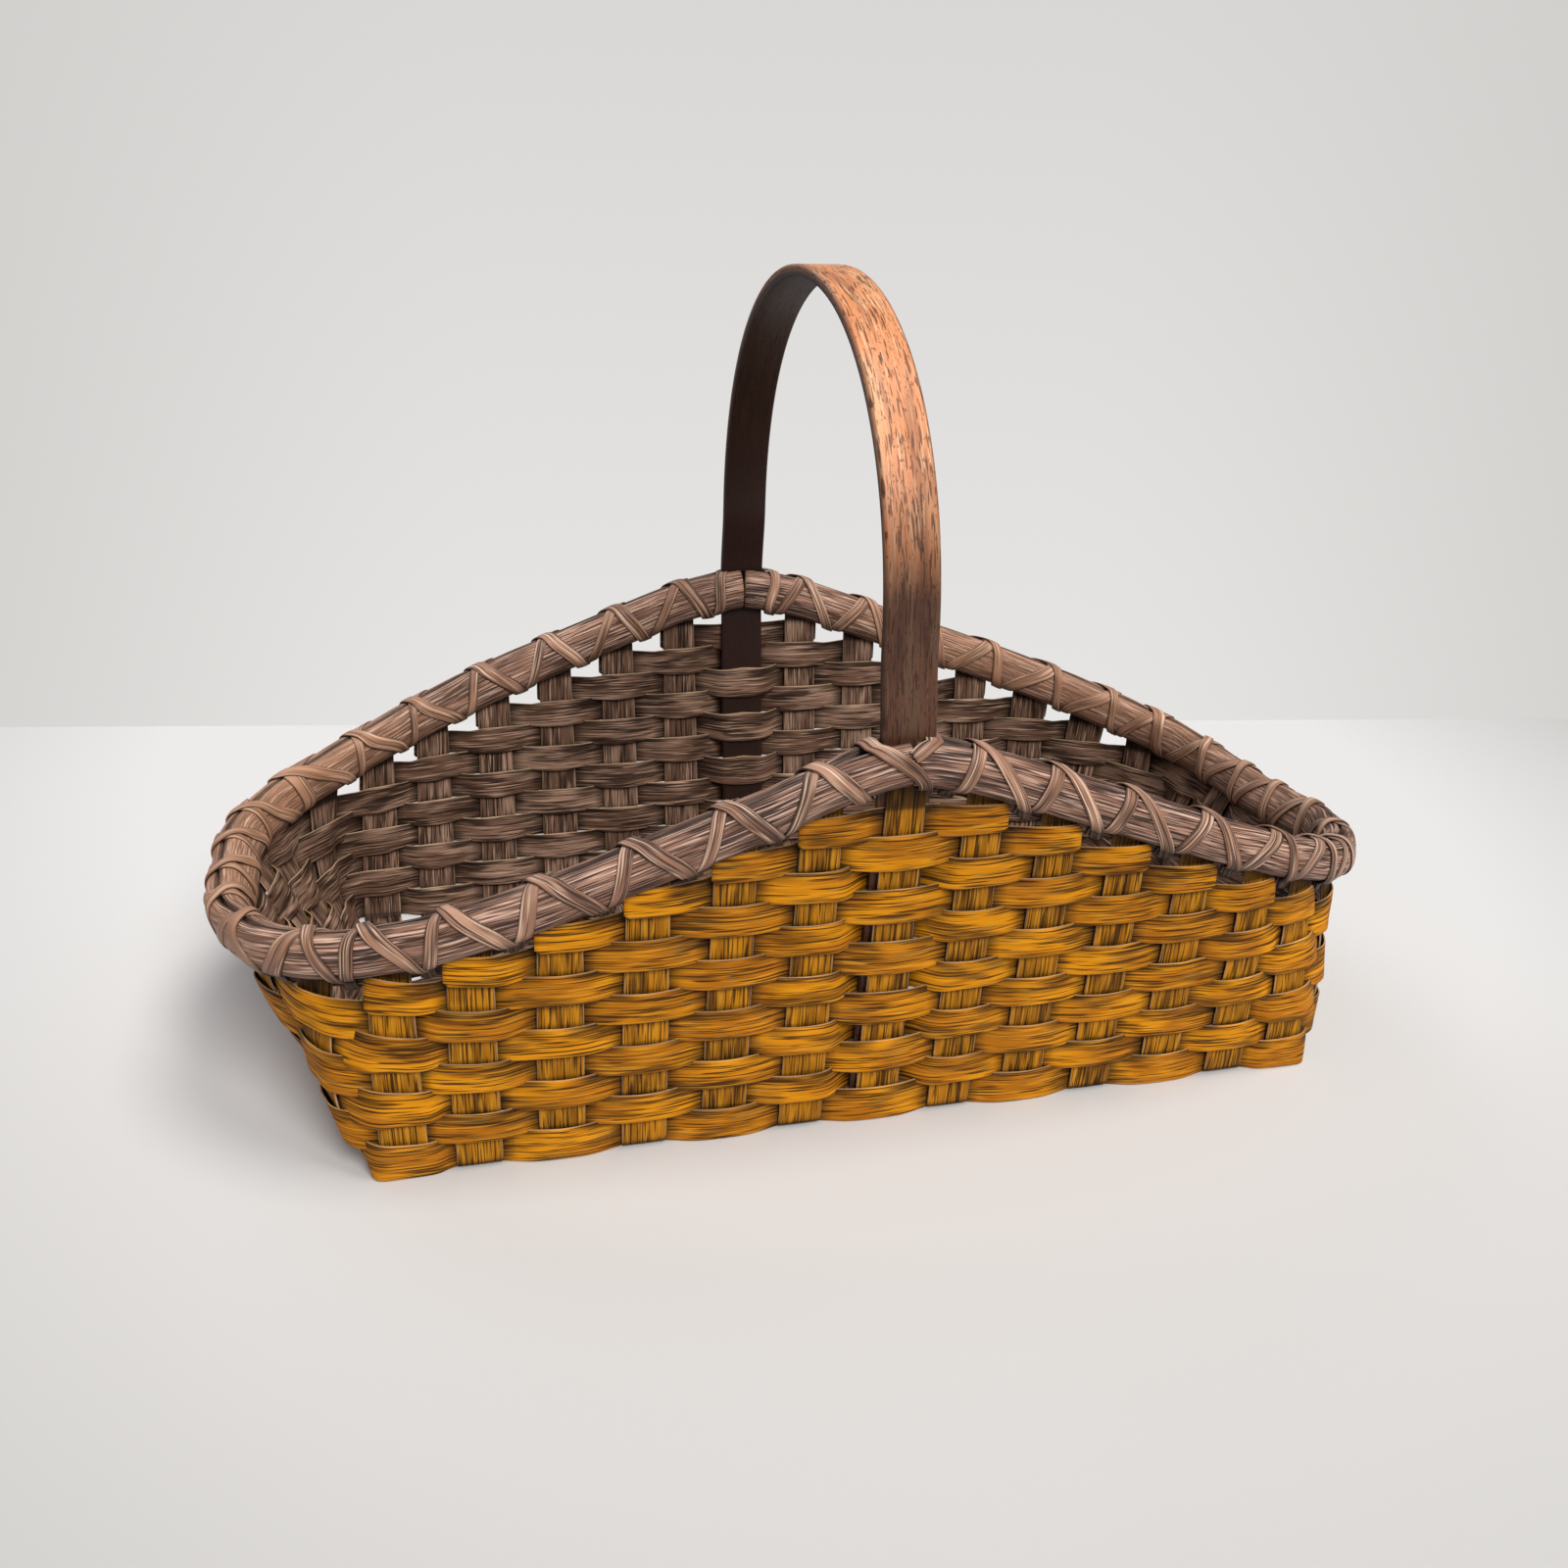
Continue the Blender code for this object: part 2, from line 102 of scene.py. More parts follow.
def rowTop(row):
    return cad.firstRow + row * cad.rowPitch - cad.rowGap / 2


def rowMiddle(row):
    return cad.firstRow + (row - 0.5) * cad.rowPitch


def rowReach(row):
    return cad.sideStakes - max(row - cad.ringRows - 1, 0)


def rowEnd(row):
    return stakePlace("side", rowReach(row)) + cad.grip


cad.rimSlope = cad.rowPitch / cad.spacing
cad.peakHalf = rowEnd(cad.lastRow)
cad.stepEnd = rowEnd(cad.ringRows + 1)
cad.stepZ = rowTop(cad.lastRow) + cad.rimSeat + cad.rimHalf * math.hypot(1, cad.rimSlope)
cad.peakZ = cad.stepZ + cad.rimSlope * cad.peakHalf / 2
cad.footZ = cad.stepZ - cad.rimSlope * (cad.stepEnd - cad.peakHalf)
cad.rimEndZ = rowTop(cad.ringRows) + cad.lashRoom + cad.rimHalf


def unit(vector):
    return vector / np.linalg.norm(vector, axis=-1, keepdims=True)


def plan(z):
    return (
        cad.baseLength + cad.endLean * z,
        cad.baseWidth + cad.sideLean * z,
        cad.cornerRadius + cad.cornerGrowth * z,
    )


def arcReach(place, straight, out, radius):
    past = min(max(abs(place) - straight, 0.0), radius)
    return out - radius + math.sqrt(radius**2 - past**2), math.asin(past / radius)


def stakeReach(kind, place, z):
    halfLength, halfWidth, radius = plan(z)
    if kind == "side":
        return arcReach(place, halfLength - radius, halfWidth, radius)
    return arcReach(place, halfWidth - radius, halfLength, radius)


cad.endLength, cad.endWidth, cad.endRadius = plan(cad.rimEndZ)
cad.startTurn = math.asin(min((cad.stepEnd - cad.endLength + cad.endRadius) / cad.endRadius, 1.0))
cad.arcSlope = cad.rimSlope * math.cos(cad.startTurn)
cad.levelRun = 2 * max(cad.footZ - cad.rimEndZ, cad.seatGap) / cad.arcSlope


# The rim's line: a round peak, straight slopes over the steps and level ends
def rimHeightAt(x, y):
    x, y = abs(x), abs(y)
    if x <= cad.peakHalf:
        return cad.peakZ - cad.rimSlope * x**2 / (2 * cad.peakHalf)
    if x <= cad.stepEnd:
        return cad.stepZ - cad.rimSlope * (x - cad.peakHalf)
    deep = y - (cad.endWidth - cad.endRadius)
    turn = math.atan2(x - (cad.endLength - cad.endRadius), max(deep, 0.0))
    run = cad.endRadius * (turn - cad.startTurn) + max(-deep, 0.0)
    run = min(max(run, 0.0), cad.levelRun)
    return cad.footZ - cad.arcSlope * (run - run**2 / (2 * cad.levelRun))


# A stake is (kind, index, side), in ring order from the front middle towards +X
def stakeRing():
    sides = range(-cad.sideStakes, cad.sideStakes + 1)
    ends = range(-cad.endStakes, cad.endStakes + 1)
    around = [("side", k, -1) for k in range(cad.sideStakes + 1)]
    around += [("end", j, 1) for j in ends]
    around += [("side", k, 1) for k in reversed(sides)]
    around += [("end", j, -1) for j in reversed(ends)]
    return around + [("side", k, -1) for k in range(-cad.sideStakes, 0)]


ring = stakeRing()


def wallSpot(stake, z):
    kind, index, side = stake
    place = stakePlace(kind, index)
    reach = side * stakeReach(kind, place, z)[0]
    return np.array([place, reach, z] if kind == "side" else [reach, place, z])


def stakeRimZ(stake):
    spot = wallSpot(stake, cad.rimEndZ)
    return rimHeightAt(spot[0], spot[1])


def stakeFoot(stake):
    spot = np.abs(wallSpot(stake, cad.rimEndZ))
    lower = (cad.grip, 0.0) if stake[0] == "side" else (0.0, -cad.grip)
    rim = rimHeightAt(spot[0] + lower[0], spot[1] + lower[1])
    return rim - cad.rimHalf * math.hypot(1, cad.rimSlope)


# A stake's middle at a height, its width's direction and its outward direction
def stakeFrame(stake, z):
    kind, index, side = stake
    share = min(max((z - cad.highLevel) / (stakeFoot(stake) - cad.highLevel), 0.0), 1.0)
    turn = share * stakeReach(kind, stakePlace(kind, index), stakeRimZ(stake))[1]
    aside = math.copysign(math.sin(turn), index) if index else 0.0
    ahead = side * math.cos(turn)
    out = np.array([aside, ahead, 0.0] if kind == "side" else [ahead, aside, 0.0])
    width = np.array([-out[1], out[0], 0.0])
    step = wallSpot(stake, z + cad.stakeThick) - wallSpot(stake, z)
    return wallSpot(stake, z), width, unit(np.cross(width, step))


def cornerSpot(near, far, share, z):
    halfLength, halfWidth, radius = plan(z)
    centre = np.array([halfLength - radius, halfWidth - radius])
    arms = [np.abs(edge[0][:2]) - centre for edge in (near, far)]
    turns = [min(max(math.atan2(*arm), 0.0), math.pi / 2) for arm in arms]
    turn = turns[0] + (turns[1] - turns[0]) * share
    reaches = [np.linalg.norm(arm) if 0 < min(arm) else radius for arm in arms]
    reach = reaches[0] + (reaches[1] - reaches[0]) * share
    spot = np.sign(near[0][:2]) * (centre + reach * np.array([math.sin(turn), math.cos(turn)]))
    return np.array([*spot, z]), unit(near[1] + (far[1] - near[1]) * share)


# A smooth curve through values at uneven places
def smoothRead(places, values, wanted):
    slopes = np.gradient(values, places, axis=0)
    wanted = np.atleast_1d(wanted)
    i = np.clip(np.searchsorted(places, wanted, side="right") - 1, 0, len(places) - 2)
    span = places[i + 1] - places[i]
    s = (wanted - places[i]) / span
    if values.ndim > 1:
        s, span = s[:, None], span[:, None]
    start = (1 + 2 * s) * (1 - s) ** 2 * values[i] + s * (1 - s) ** 2 * span * slopes[i]
    return start + s**2 * (3 - 2 * s) * values[i + 1] + s**2 * (s - 1) * span * slopes[i + 1]


levelled = np.array([1.0, 1.0, 0.0])


# The wall's middle surface at one height, as points and outward directions around the ring
def wallRing(z):
    places, columns = [], []
    for i, stake in enumerate(ring):
        point, width, normal = stakeFrame(stake, z)
        for shift in (-cad.grip, 0.0, cad.grip):
            places.append(i + shift / cad.spacing)
            columns.append([*(point + width * shift), *normal])
        following = ring[(i + 1) % len(ring)]
        if stake[0] != following[0]:
            nextPoint, nextWidth, nextNormal = stakeFrame(following, z)
            near = (point + width * cad.grip, normal)
            far = (nextPoint - nextWidth * cad.grip, nextNormal)
            for share in (1 / 3, 2 / 3):
                spot, turned = cornerSpot(near, far, share, z)
                places.append(i + cad.gripShare + share * (1 - 2 * cad.gripShare))
                columns.append([*spot, *turned])
    count = len(ring)
    places = np.concatenate([np.array(places) - count, places, np.array(places) + count])
    return places, np.concatenate([columns] * 3)


# The wall is worked out once on a fine net of heights and places, and read from it after that
wallLevels = np.arange(0, 200, 5) * mm
wallStep = 1 / 16  # of the way from one stake to the next
wallPlaces = np.arange(-3, len(ring) + 3, wallStep)
wallTable = np.array([smoothRead(*wallRing(z), wallPlaces) for z in wallLevels])


# Points on the wall and its outward directions. A place counts stakes from the front middle.
def wallAt(place, z):
    place = np.mod(place + 1.5, len(ring)) - 1.5
    across = (place - wallPlaces[0]) / wallStep
    upward = z / wallLevels[1]
    i = np.clip(across.astype(int), 0, len(wallPlaces) - 2)
    j = np.clip(upward.astype(int), 0, len(wallLevels) - 2)
    u, v = (across - i)[:, None], (upward - j)[:, None]
    low = wallTable[j, i] * (1 - u) + wallTable[j, i + 1] * u
    high = wallTable[j + 1, i] * (1 - u) + wallTable[j + 1, i + 1] * u
    read = low * (1 - v) + high * v
    return read[:, :3], unit(read[:, 3:])


# By hand no two corners come out alike. Each pull moves what lies near one spot of the plan,
# more the higher it is, up to full at the height given: spot, radius, height and move in mm.
pulls = (
    dict(spot=(262, 25), radius=65, height=110, move=(-8, 0, -4.5)),
    dict(spot=(215, 112), radius=45, height=110, move=(8, -5, -3)),
    dict(spot=(-250, -60), radius=120, height=50, move=(-3, 0, 0)),
    dict(spot=(-215, 115), radius=70, height=110, move=(4, 0, -2)),
    dict(spot=(260, -50), radius=120, height=50, move=(-4, 0, 0)),
)


def pulled(points):
    moved = points.copy()
    for pull in pulls:
        away = points[..., :2] - np.array(pull["spot"]) * mm
        near = np.exp(-np.einsum("...i,...i->...", away, away) / (pull["radius"] * mm) ** 2)
        high = np.clip(points[..., 2] / (pull["height"] * mm), 0, 1)
        moved += (near * high)[..., None] * np.array(pull["move"]) * mm
    return moved


print("wall laid out")


# Gives each point of the sections the values, which may vary along, across or not at all
def spread(sections, *values):
    return np.stack([np.broadcast_to(value, sections.shape[:2]) for value in values], 2)


# One closed mesh through cross-sections. grain is (along, across, seed) in metres. face is
# (outer side, cut edge or painted highlight, painted shade and darkening), each from 0 to 1.
def stripMesh(name, sections, grain, face, closed=False):
    count, points = sections.shape[:2]
    values = np.concatenate([grain, face], 2)
    if closed:  # the grain runs on over the seam
        seam = values[:1].copy()
        seam[..., 0] = values[-1, 0, 0] + np.linalg.norm(sections[0, 0] - sections[-1, 0])
        values = np.concatenate([values, seam])
    steps = np.meshgrid(np.arange(len(values) - 1), np.arange(points), indexing="ij")
    here, low = (step.ravel() for step in steps)
    there, high = here + 1, (low + 1) % points
    at, across = np.stack([here, here, there, there], 1), np.stack([low, high, high, low], 1)
    quads, corners = at % count * points + across, values[at, across]
    verts = pulled(sections.reshape(-1, 3))
    p, q, r, s = (verts[quads[:, corner]] for corner in range(4))
    volume = np.einsum("ij,ij->", p, np.cross(q, r)) + np.einsum("ij,ij->", p, np.cross(r, s))
    if volume < 0:
        quads, corners = quads[:, ::-1], corners[:, ::-1]
    faces, rows = quads.tolist(), [corners.reshape(-1, 6)]
    if not closed:
        for end in (0, count - 1):
            order = np.arange(points)[:: -1 if (volume > 0) == (end == 0) else 1]
            faces.append((end * points + order).tolist())
            rows.append(values[end, order])
    rows = np.concatenate(rows)
    mesh = bpy.data.meshes.new(name)
    mesh.from_pydata(verts.tolist(), [], faces)
    for attribute, part in (("grain", rows[:, :3]), ("face", rows[:, 3:])):
        layer = mesh.attributes.new(attribute, "FLOAT_VECTOR", "CORNER")
        layer.data.foreach_set("vector", part.astype(np.float32).ravel())
    mesh.shade_smooth()
    made = bpy.data.objects.new(name, mesh)
    bpy.context.collection.objects.link(made)
    return made


# Each piece rides on the one body and stands for one CAD node
def addPiece(made, node, material):
    made.data.materials.append(material)
    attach(made, "root")
    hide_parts(node)


def runLength(points):
    return np.concatenate([[0.0], np.cumsum(np.linalg.norm(np.diff(points, axis=0), axis=1))])


# A flat splint's outline: place across from -1 to 1, and which face: 1 outer, 0 edge, -1 inner
splintAcross = (-0.93, -0.8, -0.3, 0.25, 0.55, 0.8, 0.93)
splintPlace = np.array([*splintAcross, 1, *reversed(splintAcross), -1])
splintSide = np.repeat([1, 0, -1, 0], [len(splintAcross), 1] * 2)


def fromHex(text):
    values = [int(text[i : i + 2], 16) / 255 for i in (1, 3, 5)]
    return tuple(v / 12.92 if v <= 0.04045 else ((v + 0.055) / 1.055) ** 2.4 for v in values) + (1.0,)


# Adds a node with its settings. An input given as a node or a socket is linked.
def addNode(tree, kind, inputs=None, **settings):
    node = tree.nodes.new("ShaderNode" + kind)
    for key, value in settings.items():
        setattr(node, key, value)
    for key, value in (inputs or {}).items():
        if isinstance(value, bpy.types.Node):
            value = next(socket for socket in value.outputs if socket.enabled)
        if isinstance(value, bpy.types.NodeSocket):
            tree.links.new(value, node.inputs[key])
        else:
            node.inputs[key].default_value = value
    return node


def newMaterial(name, roughness, specular=0.3):
    made = bpy.data.materials.new(name)
    made.use_nodes = True
    shader = made.node_tree.nodes["Principled BSDF"]
    shader.inputs["Roughness"].default_value = roughness
    shader.inputs["Specular IOR Level"].default_value = specular
    return made, made.node_tree, shader


# A wood's material, with its mesh's grain coordinates and the three values of its face
def newWood(name, look):
    made, tree, shader = newMaterial(name, look["roughness"], look["specular"])
    read = [addNode(tree, "Attribute", attribute_name=key).outputs["Vector"] for key in ("grain", "face")]
    return made, tree, shader, read[0], addNode(tree, "SeparateXYZ", {0: read[1]}).outputs


noiseDetail = 1.5


# Noise drawn out along the grain, one layer over another. A layer is its length and width in
# mm, a shift that makes it differ, the noise at which it starts and is full, its greatest
# share, its colour and its height.
def addLayers(tree, grain, base, layers):
    colour, height = fromHex(base), 0.0
    for long, wide, shift, (start, full), most, other, rise in layers:
        place = {0: grain, 1: (1 / (long * mm), 1 / (wide * mm), 1.0), 2: (shift,) * 3}
        place = addNode(tree, "VectorMath", place, operation="MULTIPLY_ADD")
        noise = addNode(tree, "TexNoise", {"Vector": place, "Scale": 1.0, "Detail": noiseDetail})
        reach = {0: noise, 1: start, 2: full, 3: 0.0, 4: most}
        share = addNode(tree, "MapRange", reach, interpolation_type="SMOOTHSTEP")
        colour = addNode(tree, "Mix", {0: share, 6: colour, 7: fromHex(other)}, data_type="RGBA")
        height = addNode(tree, "Math", {0: share, 1: rise, 2: height}, operation="MULTIPLY_ADD")
    return colour, height


# A colour fades into another by one value of the face. A fade is (colour, how much at most).
def addFade(tree, colour, share, fade):
    share = addNode(tree, "Math", {0: share, 1: fade[1]}, operation="MULTIPLY", use_clamp=True)
    return addNode(tree, "Mix", {0: share, 6: colour, 7: fromHex(fade[0])}, data_type="RGBA")


def finishLook(tree, shader, colour, height, depth):
    tree.links.new(next(socket for socket in colour.outputs if socket.enabled), shader.inputs["Base Color"])
    bump = addNode(tree, "Bump", {"Strength": 1.0, "Distance": depth, "Height": height})
    tree.links.new(bump.outputs[0], shader.inputs["Normal"])


# Ash splint under worn ochre milk paint. Broad tints and rubbed patches, and over them the
# open pores as crisp dark lines and the raised fibres as light ones. The pores are drawn
# about twice their real width, or they would vanish at this distance.
weaverPaint = dict(
    base="#AE690B",
    layers=(
        (60, 22, 1.3, (0.46, 0.60), 0.9, "#DA8C04", 0.1),
        (36, 7, 7.1, (0.50, 0.66), 0.9, "#6C4006", -0.1),
        (19, 2.4, 3.9, (0.57, 0.72), 0.5, "#7C6834", -0.1),
        (20, 0.75, 5.7, (0.50, 0.66), 0.5, "#EBA426", 0.3),
        (24, 0.75, 9.3, (0.53, 0.62), 0.88, "#361E04", -1.0),
    ),
)
# The same paint on the stakes, duller, with darker pores: painted shade of the floats over them
shadedStakePaint = dict(
    base="#A0670F",
    layers=(
        (42, 10, 2.3, (0.46, 0.62), 0.85, "#CA8412", 0.1),
        (26, 6, 6.1, (0.50, 0.66), 0.8, "#5C380A", -0.1),
        (22, 0.9, 4.7, (0.52, 0.66), 0.6, "#D6962A", 0.3),
        (24, 0.85, 8.3, (0.52, 0.61), 0.85, "#2E1A06", -1.0),
    ),
)
# The same splint inside the basket: no paint, only a brown stain that has greyed and dried
insideStain = dict(
    base="#6A4E3E",
    layers=(
        (50, 14, 1.9, (0.46, 0.62), 0.85, "#9C7C68", 0.1),
        (30, 7, 5.3, (0.50, 0.66), 0.9, "#3A281F", -0.1),
        (20, 0.8, 3.1, (0.52, 0.68), 0.7, "#C8A48C", 0.4),
        (22, 0.75, 9.9, (0.53, 0.62), 0.85, "#22160F", -1.0),
    ),
)
# Dry paint and bare wood hardly shine. Cut edges are pale, the weavers' upper ones more by a painted
# highlight, and painted shade makes crevices nearly black.
splintLook = dict(
    edge=("#DDBB96", 0.75), shadeColour=("#0E0703", 0.9), bump=0.22, roughness=0.7, specular=0.15
)


def splintMaterial(name, paint):
    made, tree, shader, grain, (painted, edge, paintedShade) = newWood(name, splintLook)
    outside, outerHeight = addLayers(tree, grain, paint["base"], paint["layers"])
    inside, innerHeight = addLayers(tree, grain, insideStain["base"], insideStain["layers"])
    painted = addNode(tree, "Math", {0: painted, 1: 0.5}, operation="GREATER_THAN")
    colour = addNode(tree, "Mix", {0: painted, 6: inside, 7: outside}, data_type="RGBA")
    height = addNode(tree, "Mix", {0: painted, 2: innerHeight, 3: outerHeight}, data_type="FLOAT")
    colour = addFade(tree, colour, edge, splintLook["edge"])
    colour = addFade(tree, colour, paintedShade, splintLook["shadeColour"])
    finishLook(tree, shader, colour, height, splintLook["bump"] * mm)
    return made


# Stained ash, split and half rounded: dry, with fine raised fibres between dark open pores,
# and paler where a painted highlight lies on it
rimLook = dict(
    base="#8A6350", roughness=0.6, specular=0.3, bump=0.34,
    shadeColour=("#140B09", 0.9), highlight=("#D9A27C", 0.42),
    layers=(
        (60, 10, 2.9, (0.46, 0.64), 0.85, "#B88E79", 0.1),
        (34, 5, 5.1, (0.50, 0.66), 0.9, "#4A322A", -0.2),
        (24, 0.8, 3.3, (0.50, 0.64), 0.8, "#E0BCA8", 0.5),
        (22, 0.62, 7.7, (0.50, 0.60), 0.92, "#2A1A16", -1.0),
    ),
)
# Inner bark, split thin: smoother and browner, with painted shade along its edges and the rim's painted
# highlight
lashLook = dict(
    base="#98705A", roughness=0.5, specular=0.3, bump=0.18,
    shadeColour=("#170D0A", 0.9), highlight=("#D29A74", 0.42),
    layers=(
        (40, 9, 1.1, (0.46, 0.66), 0.8, "#C0947A", 0.1),
        (26, 4, 6.3, (0.50, 0.68), 0.8, "#5E4236", -0.2),
        (30, 0.9, 2.7, (0.51, 0.66), 0.8, "#ECCAB0", 0.5),
        (30, 0.7, 8.9, (0.52, 0.62), 0.85, "#33211A", -1.0),
    ),
)
# Bent hoop, stained and polished by hands: long fibres and small dark pores with a soft
# sheen, almost black where hands never rub it
handleLook = dict(
    base="#DA8E5E", roughness=0.42, specular=0.3, bump=0.08,
    shadeColour=("#2C1A15", 0.9), inside=("#1C0F0B", 0.95),
    layers=(
        (90, 11, 1.7, (0.46, 0.66), 0.8, "#EEB486", 0.1),
        (60, 7, 6.9, (0.50, 0.68), 0.75, "#A66A46", -0.1),
        (26, 1.0, 4.1, (0.53, 0.70), 0.6, "#F4D0A8", 0.4),
        (9, 0.8, 9.7, (0.55, 0.64), 0.8, "#54301F", -1.0),
        (2.4, 1.1, 5.3, (0.62, 0.70), 0.6, "#3C2218", -1.0),
    ),
)


def woodMaterial(name, look):
    made, tree, shader, grain, (outer, highlight, paintedShade) = newWood(name, look)
    colour, height = addLayers(tree, grain, look["base"], look["layers"])
    if "highlight" in look:
        colour = addFade(tree, colour, highlight, look["highlight"])
    if "inside" in look:
        inner = addNode(tree, "Math", {0: 1.0, 1: outer}, operation="SUBTRACT")
        colour = addFade(tree, colour, inner, look["inside"])
    colour = addFade(tree, colour, paintedShade, look["shadeColour"])
    finishLook(tree, shader, colour, height, look["bump"] * mm)
    return made


stakeWood = splintMaterial("milkPaintedAshStake", shadedStakePaint)
weaverWood = splintMaterial("milkPaintedAshWeaver", weaverPaint)
rimWood = woodMaterial("stainedHalfRoundAsh", rimLook)
lashBark = woodMaterial("hickoryInnerBark", lashLook)
handleWood = woodMaterial("bentStainedAsh", handleLook)
print("materials ready")

# Weavers

weaver = dict(
    bow=2.7 * mm,  # out from the wall over the middle of a stake
    grip=1.75 * mm,  # and over its edges
    reach=6.9 * mm,  # from a row's middle to its edges, which lap over the next rows
    topReach=6.0 * mm,  # to the upper edge of a row with none above it
    swell=0.2 * mm,  # wider on each float
    swellVaries=0.12,  # from one float to the next
    lap=0.9 * mm,  # between stakes the lower edge lies this far out and the upper edge in
    drift=0.35 * mm,  # how far a row wanders up and down
    foot=0.1 * mm,  # how high over the floor the lowest row ends
    endSwell=1.5 * mm,  # taller round the ends, where the stakes fan out
    passSwell=1.2 * mm,  # and where it passes inside the handle's legs
    underNext=0.85,  # how dark the painted shadow below the next row's edge is
    footEdge=0.3,  # how pale the lower cut edge is beside the upper one, which has a painted highlight
    endRadius=1.6 * mm,
    past=0.4 * mm,  # a short row ends this far past its last stake's edge
    legSnug=0.62,  # share of its bow over the handle's leg in the last row
    grainShift=3.7,  # from one row to the next, so that no two rows have the same grain
    perStake=16,
    thin=0.35,  # share of its thickness lost at its edges
    passRoom=7.2 * mm,  # past the handle's legs inside
    seam=4,  # a ring closes this many stakes to the left, where a float hides its seam
)


# How far a row lies outside the wall's middle: out over one stake and in behind the next
def rowOffset(row, place):
    places, offsets = [], []
    for i in range(-cad.sideStakes - 3, len(ring) + 3):
        side = 1 if (row + i) % 2 else -1
        middle = i % cad.halfRing == 0
        if middle and side < 0 and row < cad.lastRow:
            for shift, out in ((-0.34, 0.93), (0.0, 1.0), (0.34, 0.93)):
                places.append(i + shift)
                offsets.append(-out * weaver["passRoom"])
            continue
        snug = weaver["legSnug"] if middle and row == cad.lastRow else 1.0
        for shift, out in ((-0.3, weaver["grip"]), (0.0, weaver["bow"] * snug), (0.3, weaver["grip"])):
            places.append(i + shift)
            offsets.append(side * out)
    return smoothRead(np.array(places), np.array(offsets), place)


def rowDrift(row, place):
    turn = 2 * math.pi / len(ring)
    slow = np.sin(turn * 5 * place + 0.55 * row)
    fast = np.sin(turn * 13 * place - 0.8 * row + 2.0)
    return weaver["drift"] * (0.6 * slow + 0.4 * fast)


def makeWeaver(name, row, first, last, closed):
    count = int(round((last - first) * weaver["perStake"]))
    place = np.linspace(first, last, count, endpoint=not closed)
    offset = rowOffset(row, place)
    wave = -np.cos(np.pi * (place + row))
    stagger = 1 + weaver["swellVaries"] * np.sin(place * 2.1 + row * 1.7)
    swell = weaver["swell"] * stagger * wave**2
    fromMiddle = np.abs(np.mod(place + cad.halfRing / 2, cad.halfRing) - cad.halfRing / 2)
    swell = swell + weaver["endSwell"] * np.clip(fromMiddle - cad.sideStakes + 0.5, 0, 1)
    swell = swell + weaver["passSwell"] * np.clip(1 - fromMiddle, 0, 1)
    middle = rowMiddle(row) + rowDrift(row, place)
    lowerHalf, upperHalf = weaver["reach"] + swell, weaver["topReach"] + swell
    if row < cad.lastRow:
        aboveEnd = rowReach(row + 1) + cad.gripShare
        covered = np.clip((aboveEnd + 0.1 - fromMiddle) / 0.2, 0, 1) if row >= cad.ringRows else 1.0
        upperHalf = upperHalf + covered * (weaver["reach"] - weaver["topReach"])
    if not closed:
        toEnd = np.minimum(place - first, last - place) * cad.spacing
        short = np.clip(weaver["endRadius"] - toEnd, 0, weaver["endRadius"])
        cut = weaver["endRadius"] - np.sqrt(weaver["endRadius"] ** 2 - short**2)
        lowerHalf, upperHalf = lowerHalf - cut, upperHalf - cut
    lowest = middle - lowerHalf
    if row == 1:
        lowest = np.full(count, weaver["foot"])
        lowerHalf = middle - lowest
    lower, lowerOut = wallAt(place, lowest)
    upper, upperOut = wallAt(place, middle + upperHalf)
    along = runLength((lower + upper) / 2)[:, None]
    half, offset, wave = ((lowerHalf + upperHalf) / 2)[:, None], offset[:, None], wave[:, None]
    share = ((1 + splintPlace) / 2)[:, None]
    out = unit(lowerOut[:, None] * (1 - share) + upperOut[:, None] * share) * levelled
    out = out / (out**2).sum(2, keepdims=True)
    deep = splintSide * cad.weaverThick / 2 * (1 - weaver["thin"] * splintPlace**2)
    reach = offset + deep - splintPlace * weaver["lap"] * (1 - wave**2)
    sections = lower[:, None] * (1 - share) + upper[:, None] * share + out * reach[..., None]
    flat = np.abs(splintSide)
    # Both cut edges are pale, and the upper one paler still by a painted highlight
    edge = np.where(splintPlace > 0, 1.0, weaver["footEdge"]) * (1 - flat)
    # Painted shade on the face that lies against a stake and where it dives behind one, and a painted
    # shadow under the next row's edge; none on the face that shows
    paintedShade = np.where(flat, np.clip(-1.6 * splintSide * wave - 0.25, 0, 1), 0.1)
    under = np.clip((splintPlace - 0.2) / 0.6, 0, 1) ** 1.5 * (1 - wave**2)
    paintedShade = np.clip(paintedShade + weaver["underNext"] * under * flat, 0, 1)
    grain = spread(sections, along, splintPlace * half, row * weaver["grainShift"])
    return stripMesh(name, sections, grain, spread(sections, (splintSide + 1) / 2, edge, paintedShade), closed)


for row in range(1, cad.ringRows + 1):
    name = f"ring_weaver_{row:02d}"
    seam = row % 2 - weaver["seam"]
    made = makeWeaver(f"splint_{name}", row, seam, seam + len(ring), True)
    addPiece(made, name, weaverWood)
for row in range(cad.ringRows + 1, cad.lastRow + 1):
    for wall, middle in (("front", 0), ("back", cad.halfRing)):
        name = f"{wall}_short_weaver_{row:02d}"
        reach = rowReach(row) + (cad.stakeWidth / 2 + weaver["past"]) / cad.spacing
        made = makeWeaver(f"splint_{name}", row, middle - reach, middle + reach, False)
        addPiece(made, name, weaverWood)
print("weavers made")

# Stakes

